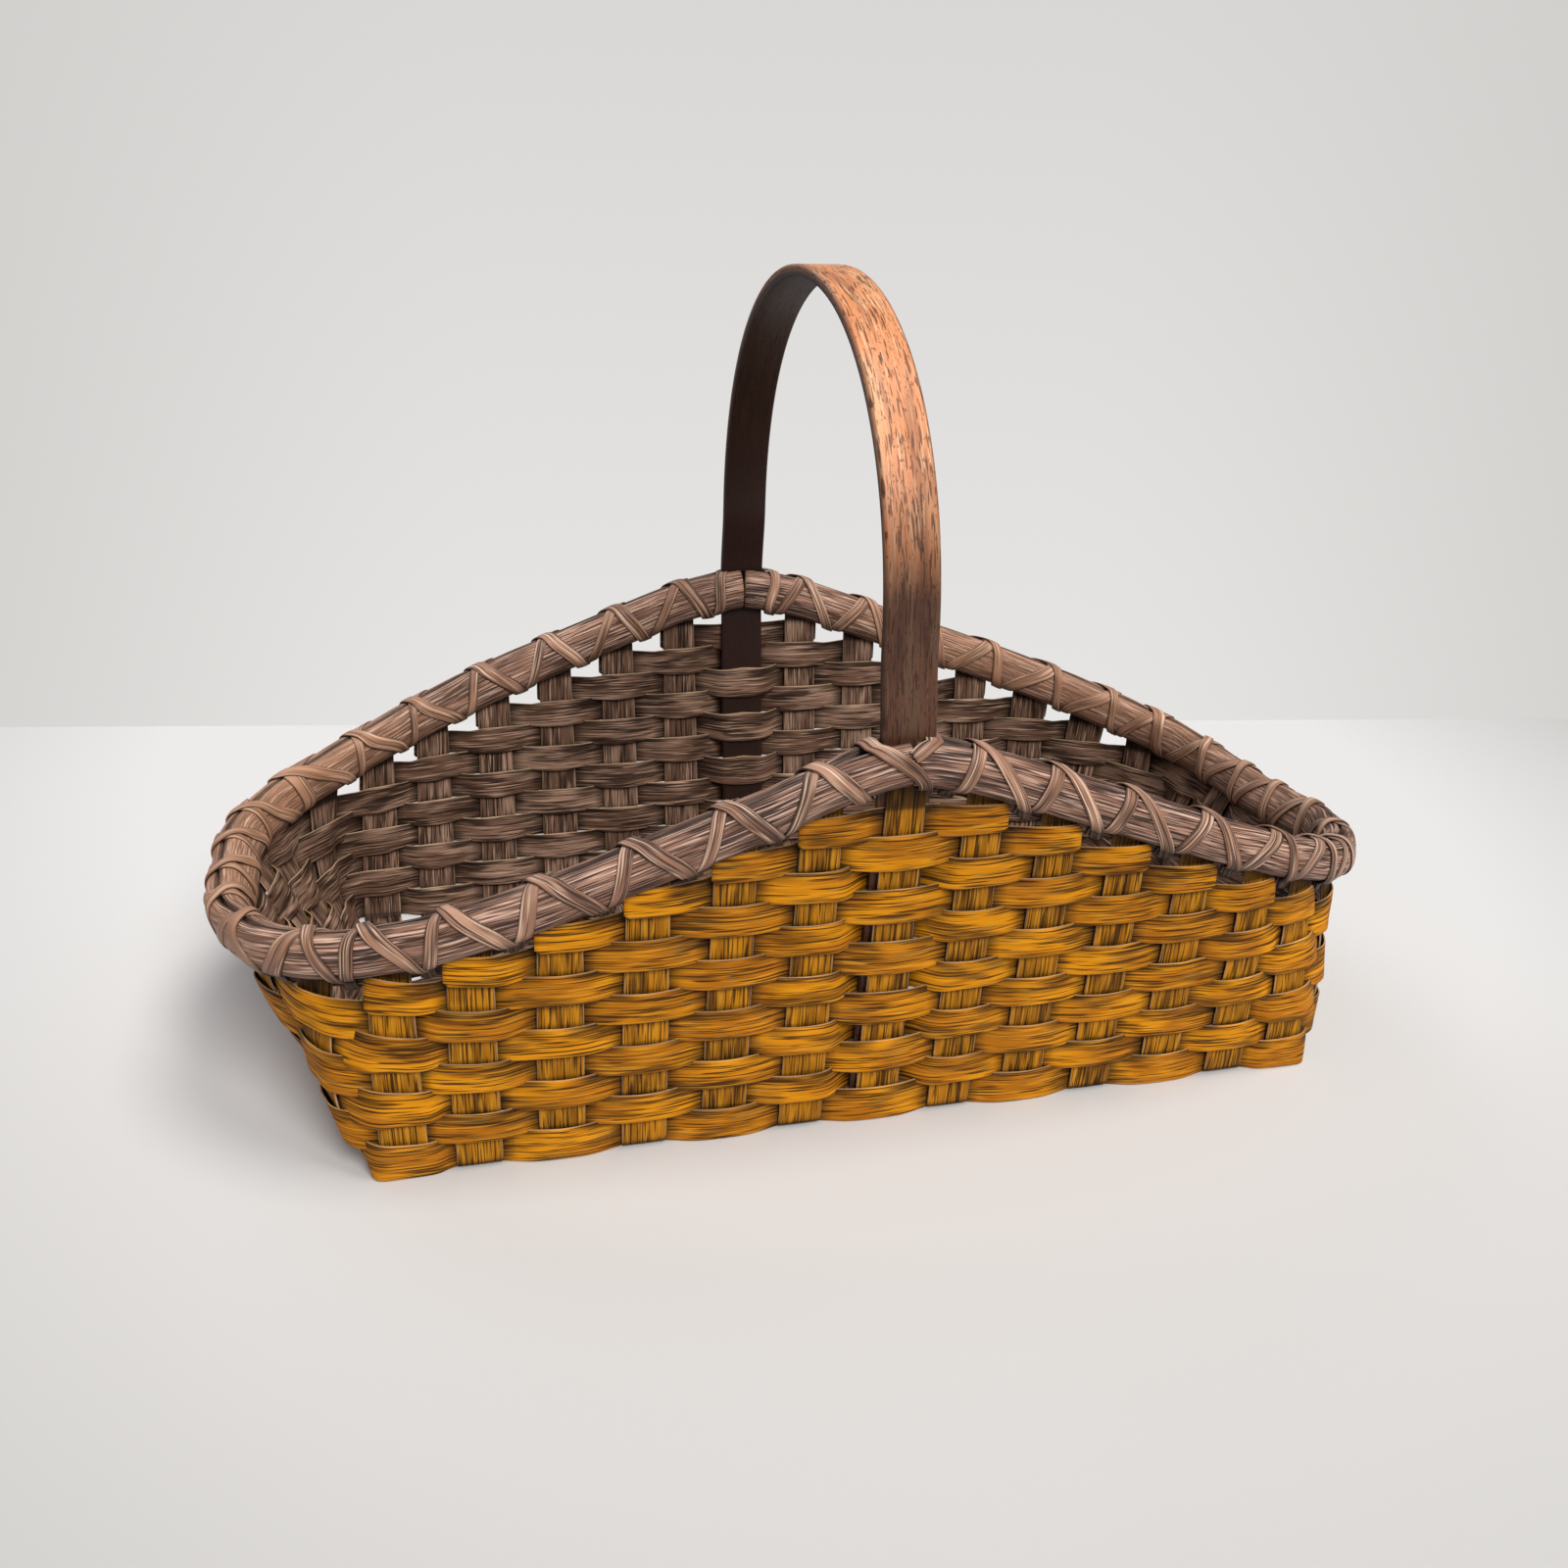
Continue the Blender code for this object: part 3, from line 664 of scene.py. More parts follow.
stakeForm = dict(
    sway=0.25 * mm,  # how far the weavers push it in and out
    thin=0.25,  # share of its thickness lost at its edges
    bendShade=0.85,  # painted shade round the bend at its foot, how dark
    baseShade=0.3,  # in the base
    rimShade=0.92,  # and between the rim's strips
    windowShades=(0.06, 0.8, 0.3),  # painted shade in a window's middle, and more at its top, the float above's shadow, and at its foot
    windowTop=((2.2 * mm, 5.5 * mm), (0, 1)),  # how far over a window's middle the top's starts
    windowFoot=((4.3 * mm, 5.5 * mm), (0, 1)),
    step=1.3 * mm,
    bendSteps=6,
    duskStart=0.42,  # of a row above its last row, where the rim's painted shadow starts
    dusk=6.0,  # and how fast
    perCrossing=12,
    narrow=0.14,  # share of its width that it loses towards its top
    narrowFrom=50 * mm,
    narrowTo=165 * mm,
)


# Painted shade on a stake in the window that a row leaves: a painted shadow most just under the float above
def windowShade(rowHere, topRow):
    away = (rowHere - round(rowHere)) * cad.rowPitch
    shades = stakeForm["windowShades"]
    near = 0.0 if round(rowHere) >= topRow else np.interp(away, *stakeForm["windowTop"]) ** 1.5
    return shades[0] + shades[1] * near + shades[2] * np.interp(-away, *stakeForm["windowFoot"])


# Up one wall: points with width, outward direction and how much shade is painted on the stake there
def stakeWall(kind, index, side, level, width):
    one = (kind, index, side)
    place = ring.index(one)
    corner = wallSpot(one, level)
    rise = unit(wallSpot(one, cad.firstRow + cad.rowGap / 2) - corner)
    out = unit(stakeFrame(one, cad.lowLevel)[2] * levelled)
    turn = math.acos(float(np.dot(out, rise)))
    centre = corner - out * cad.bendRadius * math.tan(turn / 2) + np.array([0.0, 0.0, cad.bendRadius])
    stations = []
    for i in range(stakeForm["bendSteps"]):
        part = turn * i / stakeForm["bendSteps"]
        away = out * math.sin(part) - np.array([0.0, 0.0, math.cos(part)])
        stations.append((centre + away * cad.bendRadius, width, away, stakeForm["bendShade"]))
    foot, rimZ = stakeFoot(one), stakeRimZ(one)
    top = rimZ + cad.rimHalf * cad.stakeTopShare
    levels = np.linspace(cad.firstRow + cad.rowGap, foot, int(foot / stakeForm["step"]))
    rowsHere = cad.ringRows if kind == "end" else min(cad.lastRow, cad.lastRow + 1 - abs(index))
    for z in levels:
        point, along, normal = stakeFrame(one, z)
        rowHere = (z - cad.firstRow) / cad.rowPitch + 0.5
        fade = min(max(rowsHere + 0.5 - rowHere, 0.0), 1.0)
        wave = -math.cos(math.pi * (place + rowHere)) * fade
        facing = math.copysign(1, float(np.dot(along, width)))
        topped = cad.lastRow if kind == "side" and not index else rowsHere
        dusk = (rowHere - topped - stakeForm["duskStart"]) * stakeForm["dusk"]
        window = windowShade(rowHere, topped) if rowHere < topped + 0.45 else 0.0
        paintedShade = max(min(dusk, stakeForm["rimShade"]), window)
        stations.append((point - normal * wave * stakeForm["sway"], along * facing, normal, paintedShade))
    point, along, normal = stakeFrame(one, rimZ)
    up = np.cross(normal, along)
    facing = math.copysign(1, float(np.dot(along, width)))
    for z in (rimZ, top):
        stations.append((point + up * (z - rimZ) / up[2], along * facing, normal, stakeForm["rimShade"]))
    return stations


# A stake from rim to rim: down one wall, through the weave of the base and up the other
def makeStake(name, kind, index, seed):
    crossed, crossings = ("end", cad.endStakes) if kind == "side" else ("side", cad.sideStakes)
    width = np.array([1.0, 0.0, 0.0] if kind == "side" else [0.0, 1.0, 0.0])
    along = np.array([0.0, 1.0, 0.0] if kind == "side" else [1.0, 0.0, 0.0])
    down = np.array([0.0, 0.0, -1.0])
    lowParity = 0 if kind == "side" else 1

    def level(i):
        return cad.lowLevel if (index + i) % 2 == lowParity else cad.highLevel

    bendLevel = cad.lowLevel if kind == "side" else level(crossings)
    places, levels = [], []
    for i in range(-crossings, crossings + 1):
        for shift in (-cad.grip, 0.0, cad.grip):
            places.append(stakePlace(crossed, i) + shift)
            levels.append(level(i))
    run = np.linspace(places[0], places[-1], 2 * crossings * stakeForm["perCrossing"])
    heights = np.maximum(smoothRead(np.array(places), np.array(levels), run), cad.lowLevel)
    stations = stakeWall(kind, index, -1, bendLevel, width)[::-1]
    for at, height in zip(run, heights):
        point = width * stakePlace(kind, index) + along * at
        stations.append((point + np.array([0.0, 0.0, height]), width, down, stakeForm["baseShade"]))
    stations += stakeWall(kind, index, 1, bendLevel, width)
    points, across, normals, paintedShade = (np.array(part) for part in zip(*stations))
    low, top = stakeForm["narrowFrom"], stakeForm["narrowTo"]
    narrow = stakeForm["narrow"] * np.clip((points[:, 2] - low) / (top - low), 0, 1)
    reach = splintPlace * (cad.stakeWidth / 2 * (1 - narrow))[:, None]
    deep = splintSide * cad.stakeThick / 2 * (1 - stakeForm["thin"] * splintPlace**2)
    sections = points[:, None] + reach[..., None] * across[:, None] + deep[:, None] * normals[:, None]
    grain = spread(sections, runLength(points)[:, None], reach, seed)
    face = spread(sections, (splintSide + 1) / 2, 1 - np.abs(splintSide), paintedShade[:, None])
    return stripMesh(name, sections, grain, face)


for kind, most, pattern, seed, seedStep in (
    ("side", cad.sideStakes, "side_stake_{:02d}", 11.3, 1.9),
    ("end", cad.endStakes, "end_stake_{}", 47.1, 2.3),
):
    for index in range(-most, most + 1):
        name = pattern.format(index + most + 1)
        made = makeStake(f"splint_{name}", kind, index, seed + index * seedStep)
        addPiece(made, name, stakeWood)
print("stakes made")

# Rim

rim = dict(
    roundness=2.6,  # of the half oval, where 2 is an ellipse
    profileSteps=20,
    perStake=10,
    wander=0.25 * mm,
    outerDrop=0.6 * mm,  # how much deeper the strips reach below their middle than above it
    innerDrop=2.8 * mm,
    frontDrop=5.2 * mm,  # the inner one's on the front wall, where it shows in the holes
    notch=1.1 * mm,  # how far each half's top corner is cut back where the halves meet
    notchDepth=11 * mm,
    sink=3.4 * mm,  # how much lower the left half was pressed on the front wall
    peakRise=2.4 * mm,  # and how much higher both stand where they meet
    bowStart=12.2 * mm,  # the inner strip bows round the handle's legs from this far beside them
    bowFace=6.0 * mm,  # with its face this far in
    highlightLeft=((6.5, 9, 12.5, 16), (0, 0.9, 0.9, 0.1)),  # how strong the painted highlight is, so many stakes from the front
    highlightRight=((8, 10.5, 17, 19), (0, 0.6, 0.6, 0)),
    buried=0.7,  # how dark the painted shade on its flat face is
    bottomShade=0.8,  # and its underside
    grainSeed=71.3,
)


# The line that the rim's middle follows, with a place for both sides of each stake
def rimLine():
    places, spots, normals, tangents = [], [], [], []
    for i in range(-3, cad.halfRing + 4):
        one = ring[i % len(ring)]
        point, width, normal = stakeFrame(one, stakeRimZ(one))
        up = np.cross(normal, width)
        for side in (-1, 1):
            z = stakeRimZ(one)
            for _ in range(4):
                spot = point + up * (z - point[2]) / up[2] + width * side * cad.grip
                z = rimHeightAt(spot[0], spot[1])
            places.append(i + side * cad.gripShare)
            spots.append(spot)
            normals.append(normal)
            tangents.append(width)
    for i in range(len(places) - 2, 1, -2):
        near, far = i - 1, i
        chord = np.linalg.norm(spots[far] - spots[near])
        bulge = (tangents[near] - tangents[far]) * chord / 8
        places.insert(far, (places[near] + places[far]) / 2)
        spots.insert(far, (spots[near] + spots[far]) / 2 + bulge)
        normals.insert(far, unit(normals[near] + normals[far]))
    return np.array(places), np.array(spots), np.array(normals)


rimPlaces, rimSpots, rimNormals = rimLine()


def rimAt(place):
    point = smoothRead(rimPlaces, rimSpots, place)
    ahead = smoothRead(rimPlaces, rimSpots, place + 0.08) - smoothRead(rimPlaces, rimSpots, place - 0.08)
    normal = unit(smoothRead(rimPlaces, rimNormals, place))
    up = unit(np.cross(normal, ahead))
    along = np.cross(up, normal)
    level = along * levelled
    lean = np.einsum("ij,ij->i", up, level) / np.einsum("ij,ij->i", along, level)
    return point, up - along * lean[:, None], normal


# How many stakes away the nearer peak is
def fromPeak(place):
    return np.minimum(np.abs(place), np.abs(place - cad.halfRing))


# How many stakes away the front peak is. A half is (starts in front, is the left one).
def fromFront(place, half):
    return place if half[0] else cad.halfRing - place


# How far in the inner strip's flat face is
def innerFace(place):
    return np.interp(fromPeak(place), (rim["bowStart"] / cad.spacing, 1.0), (rim["bowFace"], cad.clamp))


def halfOval(turn):
    power = 2 / rim["roundness"]
    n = cad.rimThick * np.abs(np.cos(turn)) ** power
    return n, cad.rimHalf * np.sign(np.sin(turn)) * np.abs(np.sin(turn)) ** power


# How much deeper a strip's lower half reaches: less at the peaks and round the ends
def rimDrop(place, side, half):
    if side > 0:
        return rim["outerDrop"] * np.interp(fromPeak(place), (0.3, 1.3, 5.5, 7), (0.1, 1, 1, 0.4))
    front = 0.5 + 0.5 * np.cos(math.pi * fromFront(place, half) / cad.halfRing)
    return rim["innerDrop"] + (rim["frontDrop"] - rim["innerDrop"]) * front


# How far the rim lies below its line: pressed down on the left, and pushed up at the peaks
def rimSink(place, half):
    pressed = np.interp(fromFront(place, half), (0.3, 1.6, 5.5, 8.0), (0, 1, 1, 0)) * half[1]
    return rim["sink"] * pressed - rim["peakRise"] * np.clip(1 - fromPeak(place), 0, 1) ** 1.5


# Painted highlight that makes it paler: round the left end and along the back of the right
def rimHighlight(place, half):
    highlight = rim["highlightLeft"] if half[1] else rim["highlightRight"]
    return np.interp(fromFront(place, half), *highlight)


def halfTurn(points, left):
    return points * np.array([-1.0, -1.0, 1.0]) if left else points


def makeRim(name, side, left, seed):
    kerf = cad.rimKerf / 2 / cad.spacing
    place = np.linspace(kerf, cad.halfRing - kerf, cad.halfRing * rim["perStake"])
    flat = np.full(len(place), cad.clamp) if side > 0 else innerFace(place)
    turns = np.linspace(-math.pi / 2, math.pi / 2, rim["profileSteps"])
    outline = np.stack(halfOval(turns), 1)
    outline[0], outline[-1] = (0.0, -cad.rimHalf), (0.0, cad.rimHalf)
    half = (not left, left)
    drop, sink = rimDrop(place, side, half), rimSink(place, half)
    wander = rim["wander"] * np.sin(place * 1.7 + seed) * np.sin(place * 0.6 + seed * 2)
    low = np.maximum(-outline[:, 1] / cad.rimHalf, 0)
    sections = []
    for (n, u), lower in zip(outline, low):
        cut = rim["notch"] * max((u - cad.rimHalf) / rim["notchDepth"] + 1, 0) / cad.spacing
        point, up, normal = rimAt(kerf + cut + (place - kerf) * (1 - 2 * cut / (cad.halfRing - 2 * kerf)))
        out = normal * (side * (flat + n + wander * (n > 0)))[:, None]
        sections.append(point + out + up * (u - drop * lower - sink)[:, None])
    sections = np.stack(sections, 1)
    paintedShade = np.where(outline[:, 0] == 0, rim["buried"], rim["bottomShade"] * np.maximum(low - 0.25, 0))
    grain = spread(sections, runLength(rimAt(place)[0])[:, None], runLength(outline), seed)
    face = spread(sections, 1.0, rimHighlight(place, half)[:, None], paintedShade)
    return stripMesh(name, halfTurn(sections, left), grain, face)


halves = (("right", False), ("left", True))
for number, (half, left) in enumerate(halves):
    for strip, side in (("outer", 1), ("inner", -1)):
        name = f"{strip}_rim_{half}"
        made = makeRim(f"strip_{name}", side, left, rim["grainSeed"] + number * 3 + side)
        addPiece(made, name, rimWood)
print("rim made")

# Lashing

lash = dict(
    width=5.6 * mm,
    thick=0.9 * mm,
    lift=0.5 * mm,  # its middle over the rim
    cross=1.1 * mm,  # how much higher the upper strand goes over the lower one
    perTurn=96,
    hole=0.42,  # where it turns down into the hole, from a stake, of the spacing
    overSide=17 * mm,  # how far from the middle the strands cross the top beside the handle
    underSide=11 * mm,
    overStart=-0.15,  # where the over strand comes out from below, of the spacing
    tuck=0.33,  # of a turn, where the under strand starts beneath the over strand
    duskReach=9 * mm,  # painted shade darkens it this near to the middle of the rim's underside
    footShade=0.95,
    innerShade=0.8,  # how dark the painted shade on its inner face is
    riseReach=11 * mm,  # the upper strand rises this near to the crossings
    dome=0.45,  # share of its thickness lost at its edges
    # painted shade along its edges
    edgeShade=0.5,
    underShade=0.15,  # painted shade on the strand that lies under the other
    grainSeed=91.7,
    # how far its crossings lie past their stakes, at places round the ring
    slides=(
        (0, -0.15), (2, -0.09), (3, -0.06), (4, 0.06), (5, 0.23), (6, 0.3), (8, 0), (11, -0.3),
        (16, -0.33), (19, -0.05), (22, 0.06), (24, 0.25), (27, 0.5), (30, 0.4), (32, 0),
        (34, -0.3), (36, -0.25), (39, -0.13), (40, -0.1),
    ),
)
lashOutline = [(v, 1) for v in (-1, -0.85, -0.4, 0, 0.4, 0.85, 1)] + [(v, -1) for v in (1, 0, -1)]


# The bundle's outline from the middle of its underside, up the outer side, over the top and
# down the inner side: out from the wall, up, and the direction that faces away
def bundleTable():
    turns = np.linspace(-math.pi / 2, math.pi / 2, 41)
    n, u = halfOval(turns)
    n[0] = n[-1] = 0.0
    low = np.clip(-u / cad.rimHalf, 0, 1)
    outer = np.stack([n + cad.clamp, u - rim["outerDrop"] * low], 1)
    inner = np.stack([-n - cad.clamp, u - rim["innerDrop"] * low], 1)[::-1]
    foot = [[0.0, -cad.rimHalf - rim["outerDrop"]]]
    line = np.concatenate([foot, outer, [[0.0, cad.rimHalf]], inner, foot])
    at = runLength(line)
    ahead = np.gradient(line, at + np.arange(len(at)) * 1e-9, axis=0)
    away = unit(np.stack([ahead[:, 1], -ahead[:, 0]], 1))
    return at, line, away


bundleAt, bundleLine, bundleAway = bundleTable()
bundleAround = bundleAt[-1]


# A spot so far along the rim and round it, and so much above its surface
def bundleSpot(place, around, lift, half):
    around = np.mod(around, bundleAround)
    n, u = (np.interp(around, bundleAt, bundleLine[:, axis]) for axis in (0, 1))
    awayN, awayU = (np.interp(around, bundleAt, bundleAway[:, axis]) for axis in (0, 1))
    point, up, normal = rimAt(place)
    inner = np.clip(-n / cad.clamp, 0, 1)
    deepest = [
        (cad.rimHalf + rimDrop(place, side, half)) / (cad.rimHalf + rim[key])
        for side, key in ((1, "outerDrop"), (-1, "innerDrop"))
    ]
    u = np.where(u < 0, u * (deepest[0] * (1 - inner) + deepest[1] * inner), u)
    inward = inner * (innerFace(place) - cad.clamp)
    high = u + awayU * lift - rimSink(place, half)
    return point + normal * (n - inward + awayN * lift)[:, None] + up * high[:, None]


# Where a strand crosses the top for its loop, with the hand's own unevenness
def lashTop(loop, upper, half):
    if loop == 0:
        return lash["overSide" if upper else "underSide"] / cad.spacing
    frontFirst, left = half
    ahead = 1 if frontFirst != left else -1
    start = cad.halfRing * (2 * left if frontFirst else 1)
    return loop + ahead * np.interp(start + ahead * loop, *zip(*lash["slides"]))


def makeLash(name, upper, left, seed):
    hole, half = lash["hole"], (upper == left, left)
    first = lash["overStart"] if upper else -0.5
    places, turns = [first], [0]
    for loop in range(cad.halfRing):
        places += [loop - hole if loop else first, lashTop(loop, upper, half), loop + hole]
        turns += [loop + 0.1, loop + 0.5, loop + 0.9]
    places = np.array([*places, cad.halfRing - 0.5])
    arounds = np.array([*turns, cad.halfRing]) * bundleAround
    begin = 0.0 if upper else lash["tuck"] * bundleAround
    around = np.linspace(begin, arounds[-1], cad.halfRing * lash["perTurn"])
    place = smoothRead(arounds, places, around)
    ahead = np.stack([np.gradient(place) * cad.spacing, np.gradient(around)], 1)
    along = np.cumsum(np.hypot(*ahead.T))
    ahead = unit(ahead)
    turnShare = np.mod(around / bundleAround, 1)
    fromFoot = np.minimum(turnShare, 1 - turnShare) * bundleAround
    below = lash["footShade"] * np.clip(1.25 - fromFoot / lash["duskReach"], 0, 1)
    fromCrossing = np.minimum(np.abs(turnShare - 0.5) * bundleAround, fromFoot)
    near = np.clip(fromCrossing / lash["riseReach"], 0, 1)
    rise = np.cos(near * math.pi / 2) ** 2 * lash["cross"] * upper
    sections = []
    for v, side in lashOutline:
        across = v * lash["width"] / 2
        sidePlace = place - ahead[:, 1] * across / cad.spacing
        sideAround = around + ahead[:, 0] * across
        deep = lash["thick"] / 2 * (1 - lash["dome"] * v**2 if side > 0 else -1)
        sections.append(bundleSpot(sidePlace, sideAround, lash["lift"] + rise + deep, half))
    sections = np.stack(sections, 1) * np.array([1.0, -1.0 if upper else 1.0, 1.0])
    v, side = np.array(lashOutline).T
    outer = lash["edgeShade"] * (np.abs(v) == 1) + (0 if upper else lash["underShade"])
    paintedShade = np.maximum(below[:, None], np.where(side < 0, lash["innerShade"], outer))
    grain = spread(sections, along[:, None], v * lash["width"] / 2, seed)
    face = spread(sections, 1.0, rimHighlight(place, half)[:, None], paintedShade)
    return stripMesh(name, halfTurn(sections, left), grain, face)


for number, (half, left) in enumerate(halves):
    for strand, upper in (("under", False), ("over", True)):
        name = f"{strand}_lashing_{half}"
        made = makeLash(f"strand_{name}", upper, left, lash["grainSeed"] + number * 2 + upper)
        addPiece(made, name, lashBark)
print("lashing made")

# Handle

handle = dict(
    width=22.4 * mm,
    thick=5.2 * mm,
    tail=3 * mm,  # its thickness below the rim's top
    straight=46 * mm,  # from the rim's peak to where the arch springs
    rise=132 * mm,
    drawIn=3.5 * mm,  # the arch is this much nearer the middle than the legs
    power=2.1,  # of the arch, where 2 is an ellipse
    edgeRound=1.4 * mm,
    edgeSteps=5,
    legSteps=30,
    springSteps=12,
    darkeningTop=118 * mm,  # over the rim's peak, where it starts to darken downwards
    darkeningFull=66 * mm,  # and where it is darkest
    archSteps=120,
    edgeShade=0.6,  # how dark the painted shade on its rounded edges is
    grainSeed=131.0,
)


# Each station is a place (y, z) of the hoop's outer face, the way in from it and its thickness
def handleStations():
    def leg(z):
        point, _, normal = stakeFrame(("side", 0, 1), z)
        return (point - normal * cad.handleFace)[1:], -normal[1:]

    tail, widen = handle["tail"], handle["thick"] - handle["tail"]
    tailFoot = cad.highLevel + cad.stakeThick / 2 + cad.seatGap
    shoulderZ = cad.peakZ + cad.rimHalf + cad.seatGap
    legs = [(*leg(z), tail) for z in np.linspace(tailFoot, shoulderZ, handle["legSteps"])]
    for share in (0.25, 0.5, 0.75, 1.0):
        legs.append((*leg(shoulderZ + widen * share), tail + widen * share**0.6))
    foot, power = legs[-1][0], 2 / handle["power"]
    turns = np.linspace(0, math.pi, handle["archSteps"])
    sideways = np.sign(np.cos(turns)) * np.abs(np.cos(turns)) ** power
    upward = cad.peakZ + handle["straight"] + handle["rise"] * np.sin(turns) ** power
    arch = np.stack([sideways * (foot[0] - handle["drawIn"]), upward], 1)
    share = np.linspace(0, 1, handle["springSteps"])[1:-1, None]
    spring = foot + (arch[0] - foot) * np.hstack([share**2 * (3 - 2 * share), share])
    curve = np.concatenate([spring, arch, spring[::-1] * [-1, 1]])
    ahead = unit(np.gradient(curve, axis=0))
    inward = np.stack([-ahead[:, 1], ahead[:, 0]], 1)
    middle = [(spot, into, handle["thick"]) for spot, into in zip(curve, inward)]
    flip = np.array([-1.0, 1.0])
    return legs + middle + [(spot * flip, into * flip, deep) for spot, into, deep in reversed(legs)]


def makeHandle(name):
    spots, into, deep = (np.array(part) for part in zip(*handleStations()))
    deep, steps = deep[:, None], handle["edgeSteps"]
    half, near = handle["width"] / 2, np.minimum(handle["edgeRound"], deep / 2 - 0.1 * mm)
    sideX, sideD = np.repeat([(1, 1, -1, -1), (-1, 1, 1, -1)], steps, axis=1)
    turns = np.radians(np.concatenate([begin + np.linspace(0, 90, steps) for begin in (-90, 0, 90, 180)]))
    x = sideX * (half - near) + near * np.cos(turns)
    d = deep / 2 + sideD * (deep / 2 - near) + near * np.sin(turns)
    sections = np.concatenate([x[..., None], spots[:, None] + into[:, None] * d[..., None]], 2)
    outer = 1 - np.clip((d / deep - 0.45) / 0.1, 0, 1)
    low = cad.peakZ + handle["darkeningTop"] - spots[:, 1:]
    low = np.clip(low / (handle["darkeningTop"] - handle["darkeningFull"]), 0, 1)
    edgeShading = (np.abs(x) > half - 0.9 * near) * handle["edgeShade"]
    grain = spread(sections, runLength(spots)[:, None], x + d, handle["grainSeed"])
    return stripMesh(name, sections, grain, spread(sections, outer, 0.0, np.maximum(edgeShading, low)))


addPiece(makeHandle("bent_handle"), "handle", handleWood)
print("handle made")

# Stage, lights and camera

view = dict(
    focal=37.0,  # in mm, as is the sensor's width
    sensor=36.0,
    at=(-0.2090, -0.6928, 0.3908),
    azimuth=-15.951,
    elevation=21.267,
    roll=1.8207,
)


# Places a camera or a lamp by the directions of its own axes
def addAimed(made, right, up, back, at=(0, 0, 0)):
    matrix = np.eye(4)
    matrix[:3] = np.stack([right, up, back, at], 1)
    made.matrix_world = matrix.T.tolist()
    bpy.context.collection.objects.link(made)


def makeCamera():
    data = bpy.data.cameras.new("photoCamera")
    data.lens, data.sensor_width = view["focal"], view["sensor"]
    data.clip_start, data.clip_end = 0.05, 20
    az, el, roll = (math.radians(view[key]) for key in ("azimuth", "elevation", "roll"))
    back = np.array([math.sin(az) * math.cos(el), -math.cos(az) * math.cos(el), math.sin(el)])
    right = np.array([math.cos(az), math.sin(az), 0.0])
    up = np.cross(back, right)
    right, up = right * math.cos(roll) + up * math.sin(roll), up * math.cos(roll) - right * math.sin(roll)
    camera = bpy.data.objects.new("photoCamera", data)
    addAimed(camera, right, up, back, view["at"])
    bpy.context.scene.camera = camera
    return np.array(view["at"]), right, up, back


cameraAt, cameraRight, cameraUp, cameraBack = makeCamera()


# Where the ray through a point of the photograph meets the floor
def floorSpot(px, py):
    focal = view["focal"] / view["sensor"] * photoSize
    ray = cameraRight * (px - photoSize / 2) / focal - cameraUp * (py - photoSize / 2) / focal - cameraBack
    return cameraAt - ray * cameraAt[2] / ray[2]


stage = dict(
    lineLeft=(0, 742),  # where the floor's far edge crosses the photograph's sides
    lineRight=(1600, 733),
    reach=6.0,
    floor="#D5D4D3",
    floorFar="#B8B7B5",
    poolShape=(1.4, 1.0, 1.0),  # a painted pool of light: the floor is palest round here and greys away from it
    poolAt=(0.11, 0.36, 0.0),
    poolReach=(0.58, 0.92),
    wallFoot=-0.32,
    wallTop=0.12,
    wallLow="#E6E5E3",
    wallHigh="#D8D6D4",
    wallSide="#C9C8C5",
    fallOff=(0.16, 0.66),  # sideways, where the backdrop's painted dimming starts and is fullest
    sky="#F4F6FC",
    skyPower=0.27,
)


def makeFloor():
    left, right = floorSpot(*stage["lineLeft"]), floorSpot(*stage["lineRight"])
    ahead = unit((right - left)[:2])
    side = np.array([ahead[1], -ahead[0]])
    middle = (left + right)[:2] / 2
    reaches = np.array([(-1, 0), (1, 0), (1, 1), (-1, 1)]) * stage["reach"]
    corners = middle + reaches @ np.stack([ahead, side])
    mesh = bpy.data.meshes.new("floorSheet")
    mesh.from_pydata([(*corner, 0.0) for corner in corners], [], [(0, 1, 2, 3)])
    floor = bpy.data.objects.new("floorSheet", mesh)
    made, tree, shader = newMaterial("matPaper", 0.75)  # a smooth sheet without any gloss
    place = addNode(tree, "TexCoord").outputs["Object"]
    place = addNode(tree, "VectorMath", {0: place, 1: stage["poolShape"]}, operation="MULTIPLY")
    away = addNode(tree, "VectorMath", {0: place, 1: stage["poolAt"]}, operation="DISTANCE")
    start, end = stage["poolReach"]
    share = addNode(tree, "MapRange", {0: away.outputs["Value"], 1: start, 2: end})
    grey = {0: share, 6: fromHex(stage["floor"]), 7: fromHex(stage["floorFar"])}
    grey = addNode(tree, "Mix", grey, data_type="RGBA").outputs[2]
    tree.links.new(grey, shader.inputs["Base Color"])
    mesh.materials.append(made)
    bpy.context.collection.objects.link(floor)


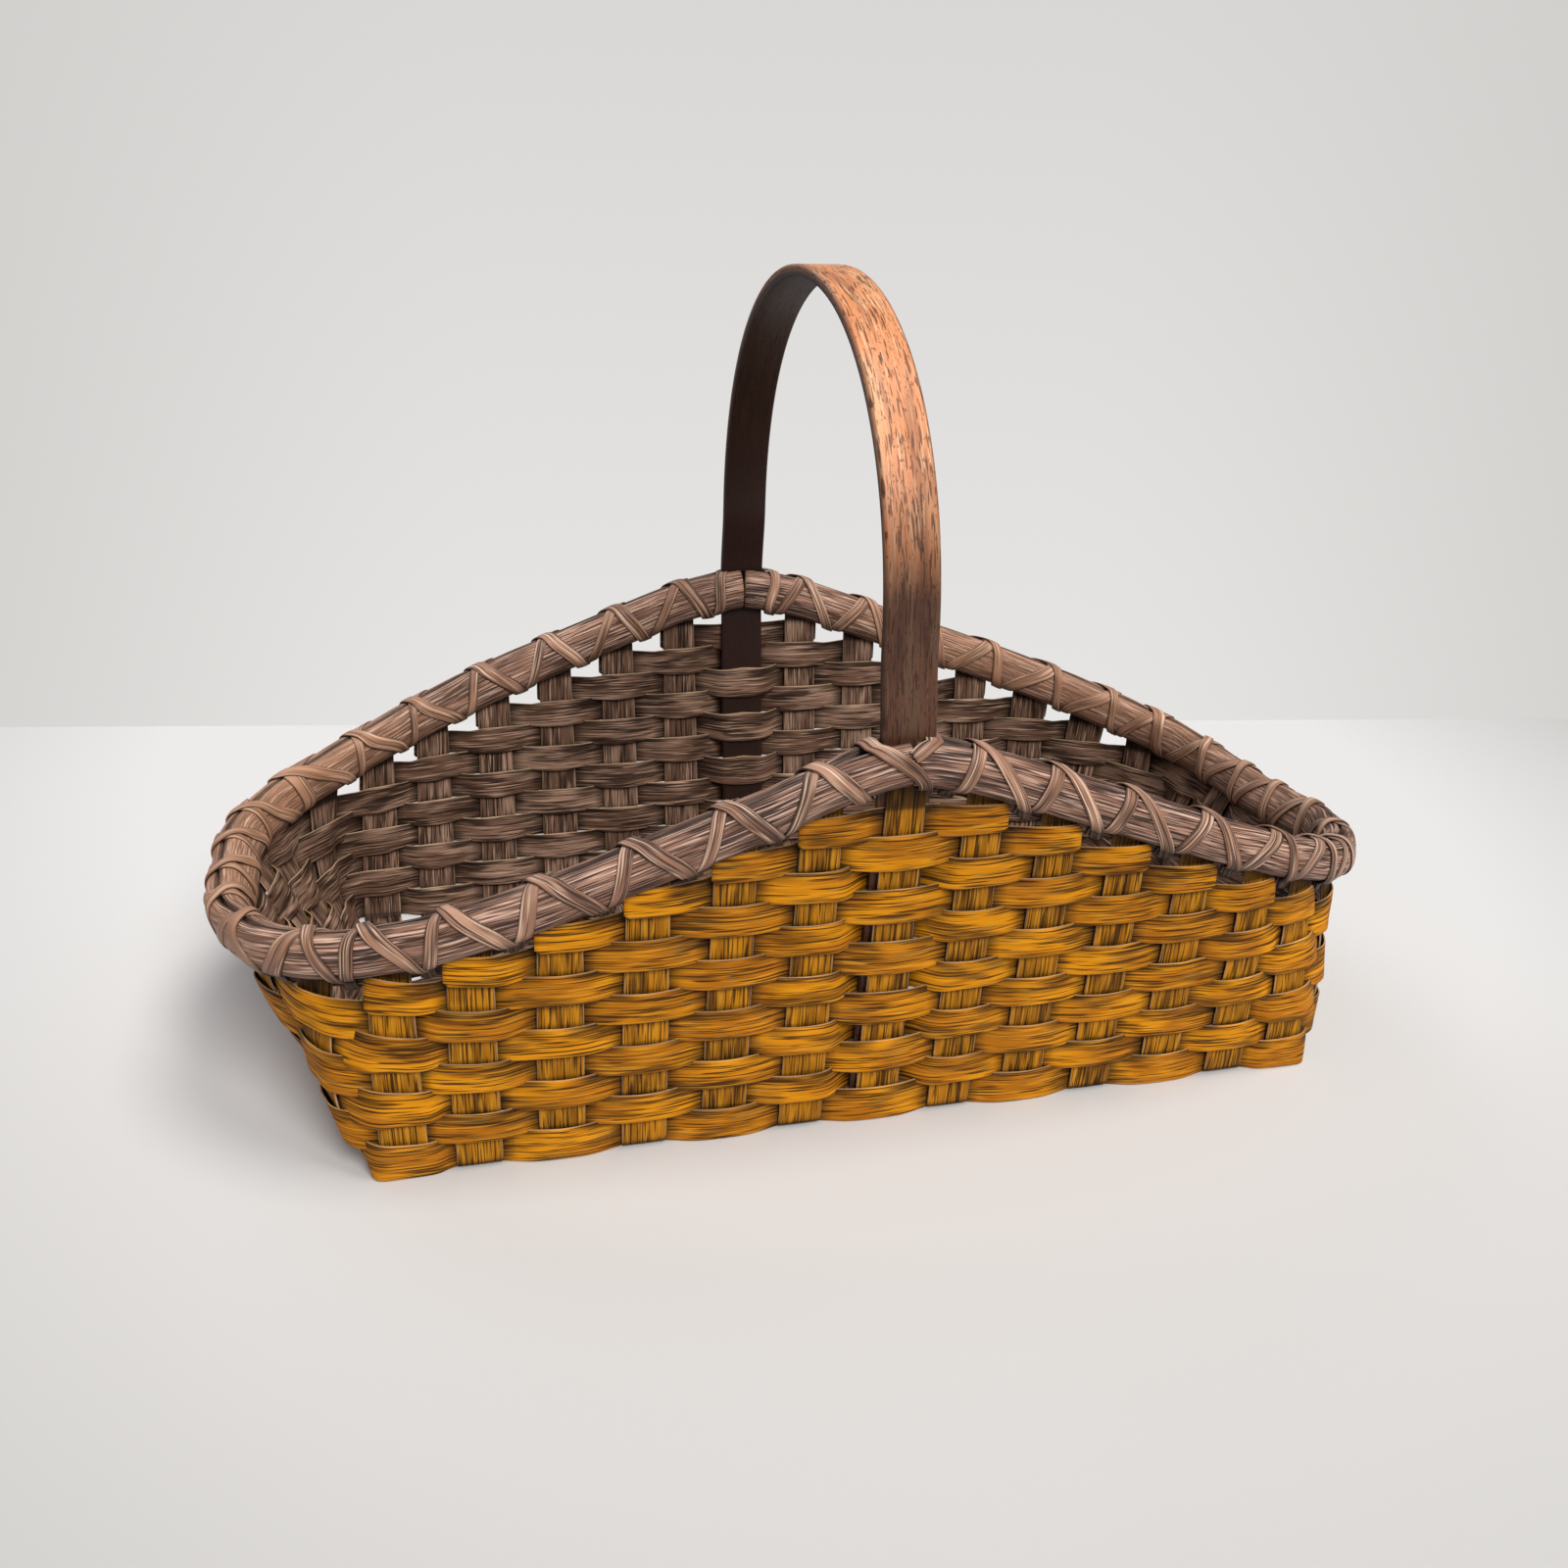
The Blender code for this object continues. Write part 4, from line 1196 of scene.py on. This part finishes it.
def makeWorld():
    world = bpy.data.worlds.new("studio")
    bpy.context.scene.world = world
    world.use_nodes = True
    tree = world.node_tree
    tree.nodes.clear()
    # The backdrop's light is painted: paler at the floor's edge, greyer upwards and dimmer to the sides
    place = addNode(tree, "TexCoord").outputs["Generated"]
    height = addNode(tree, "SeparateXYZ", {0: place}).outputs[2]
    share = addNode(tree, "MapRange", {0: height, 1: stage["wallFoot"], 2: stage["wallTop"]})
    walls = {0: share, 6: fromHex(stage["wallLow"]), 7: fromHex(stage["wallHigh"])}
    seen = addNode(tree, "Mix", walls, data_type="RGBA")
    # The direction is fixed in the room, so other views see the same backdrop
    aside = addNode(tree, "VectorMath", {0: place, 1: tuple(cameraRight)}, operation="DOT_PRODUCT")
    aside = addNode(tree, "Math", {0: aside.outputs["Value"]}, operation="ABSOLUTE")
    start, end = stage["fallOff"]
    share = addNode(tree, "MapRange", {0: aside, 1: start, 2: end}, interpolation_type="SMOOTHSTEP")
    dimmed = {0: share, 6: seen, 7: fromHex(stage["wallSide"])}
    seen = addNode(tree, "Mix", dimmed, data_type="RGBA")
    shown = addNode(tree, "Background", {"Color": seen, "Strength": 1.0})
    lit = addNode(tree, "Background", {"Color": fromHex(stage["sky"]), "Strength": stage["skyPower"]})
    path = addNode(tree, "LightPath").outputs
    mixed = addNode(tree, "MixShader", {0: path["Is Camera Ray"], 1: lit, 2: shown})
    addNode(tree, "OutputWorld", {"Surface": mixed})


# Each shines from a direction, with the width of its disk in degrees
lamps = (
    dict(name="keyAbove", toward=(0.45, -0.20, 1.4), width=24, power=1.4, colour="#FFFCF8"),
    dict(name="fillFront", toward=(0.14, -0.86, 0.80), width=28, power=2.4, colour="#FFFDFA"),
    dict(name="softBehind", toward=(-0.45, 0.95, 0.8), width=40, power=0.65, colour="#F6F8FF"),
)


def makeLamps():
    for lamp in lamps:
        data = bpy.data.lights.new(lamp["name"], "SUN")
        data.energy, data.angle = lamp["power"], math.radians(lamp["width"])
        data.color = fromHex(lamp["colour"])[:3]
        back = unit(np.array(lamp["toward"]))
        right = unit(np.cross(np.array([0.0, 0.0, 1.0]), back))
        addAimed(bpy.data.objects.new(lamp["name"], data), right, np.cross(back, right), back)


makeFloor()
makeWorld()
makeLamps()
bpy.context.scene.view_settings.view_transform = "Standard"
print("stage set")
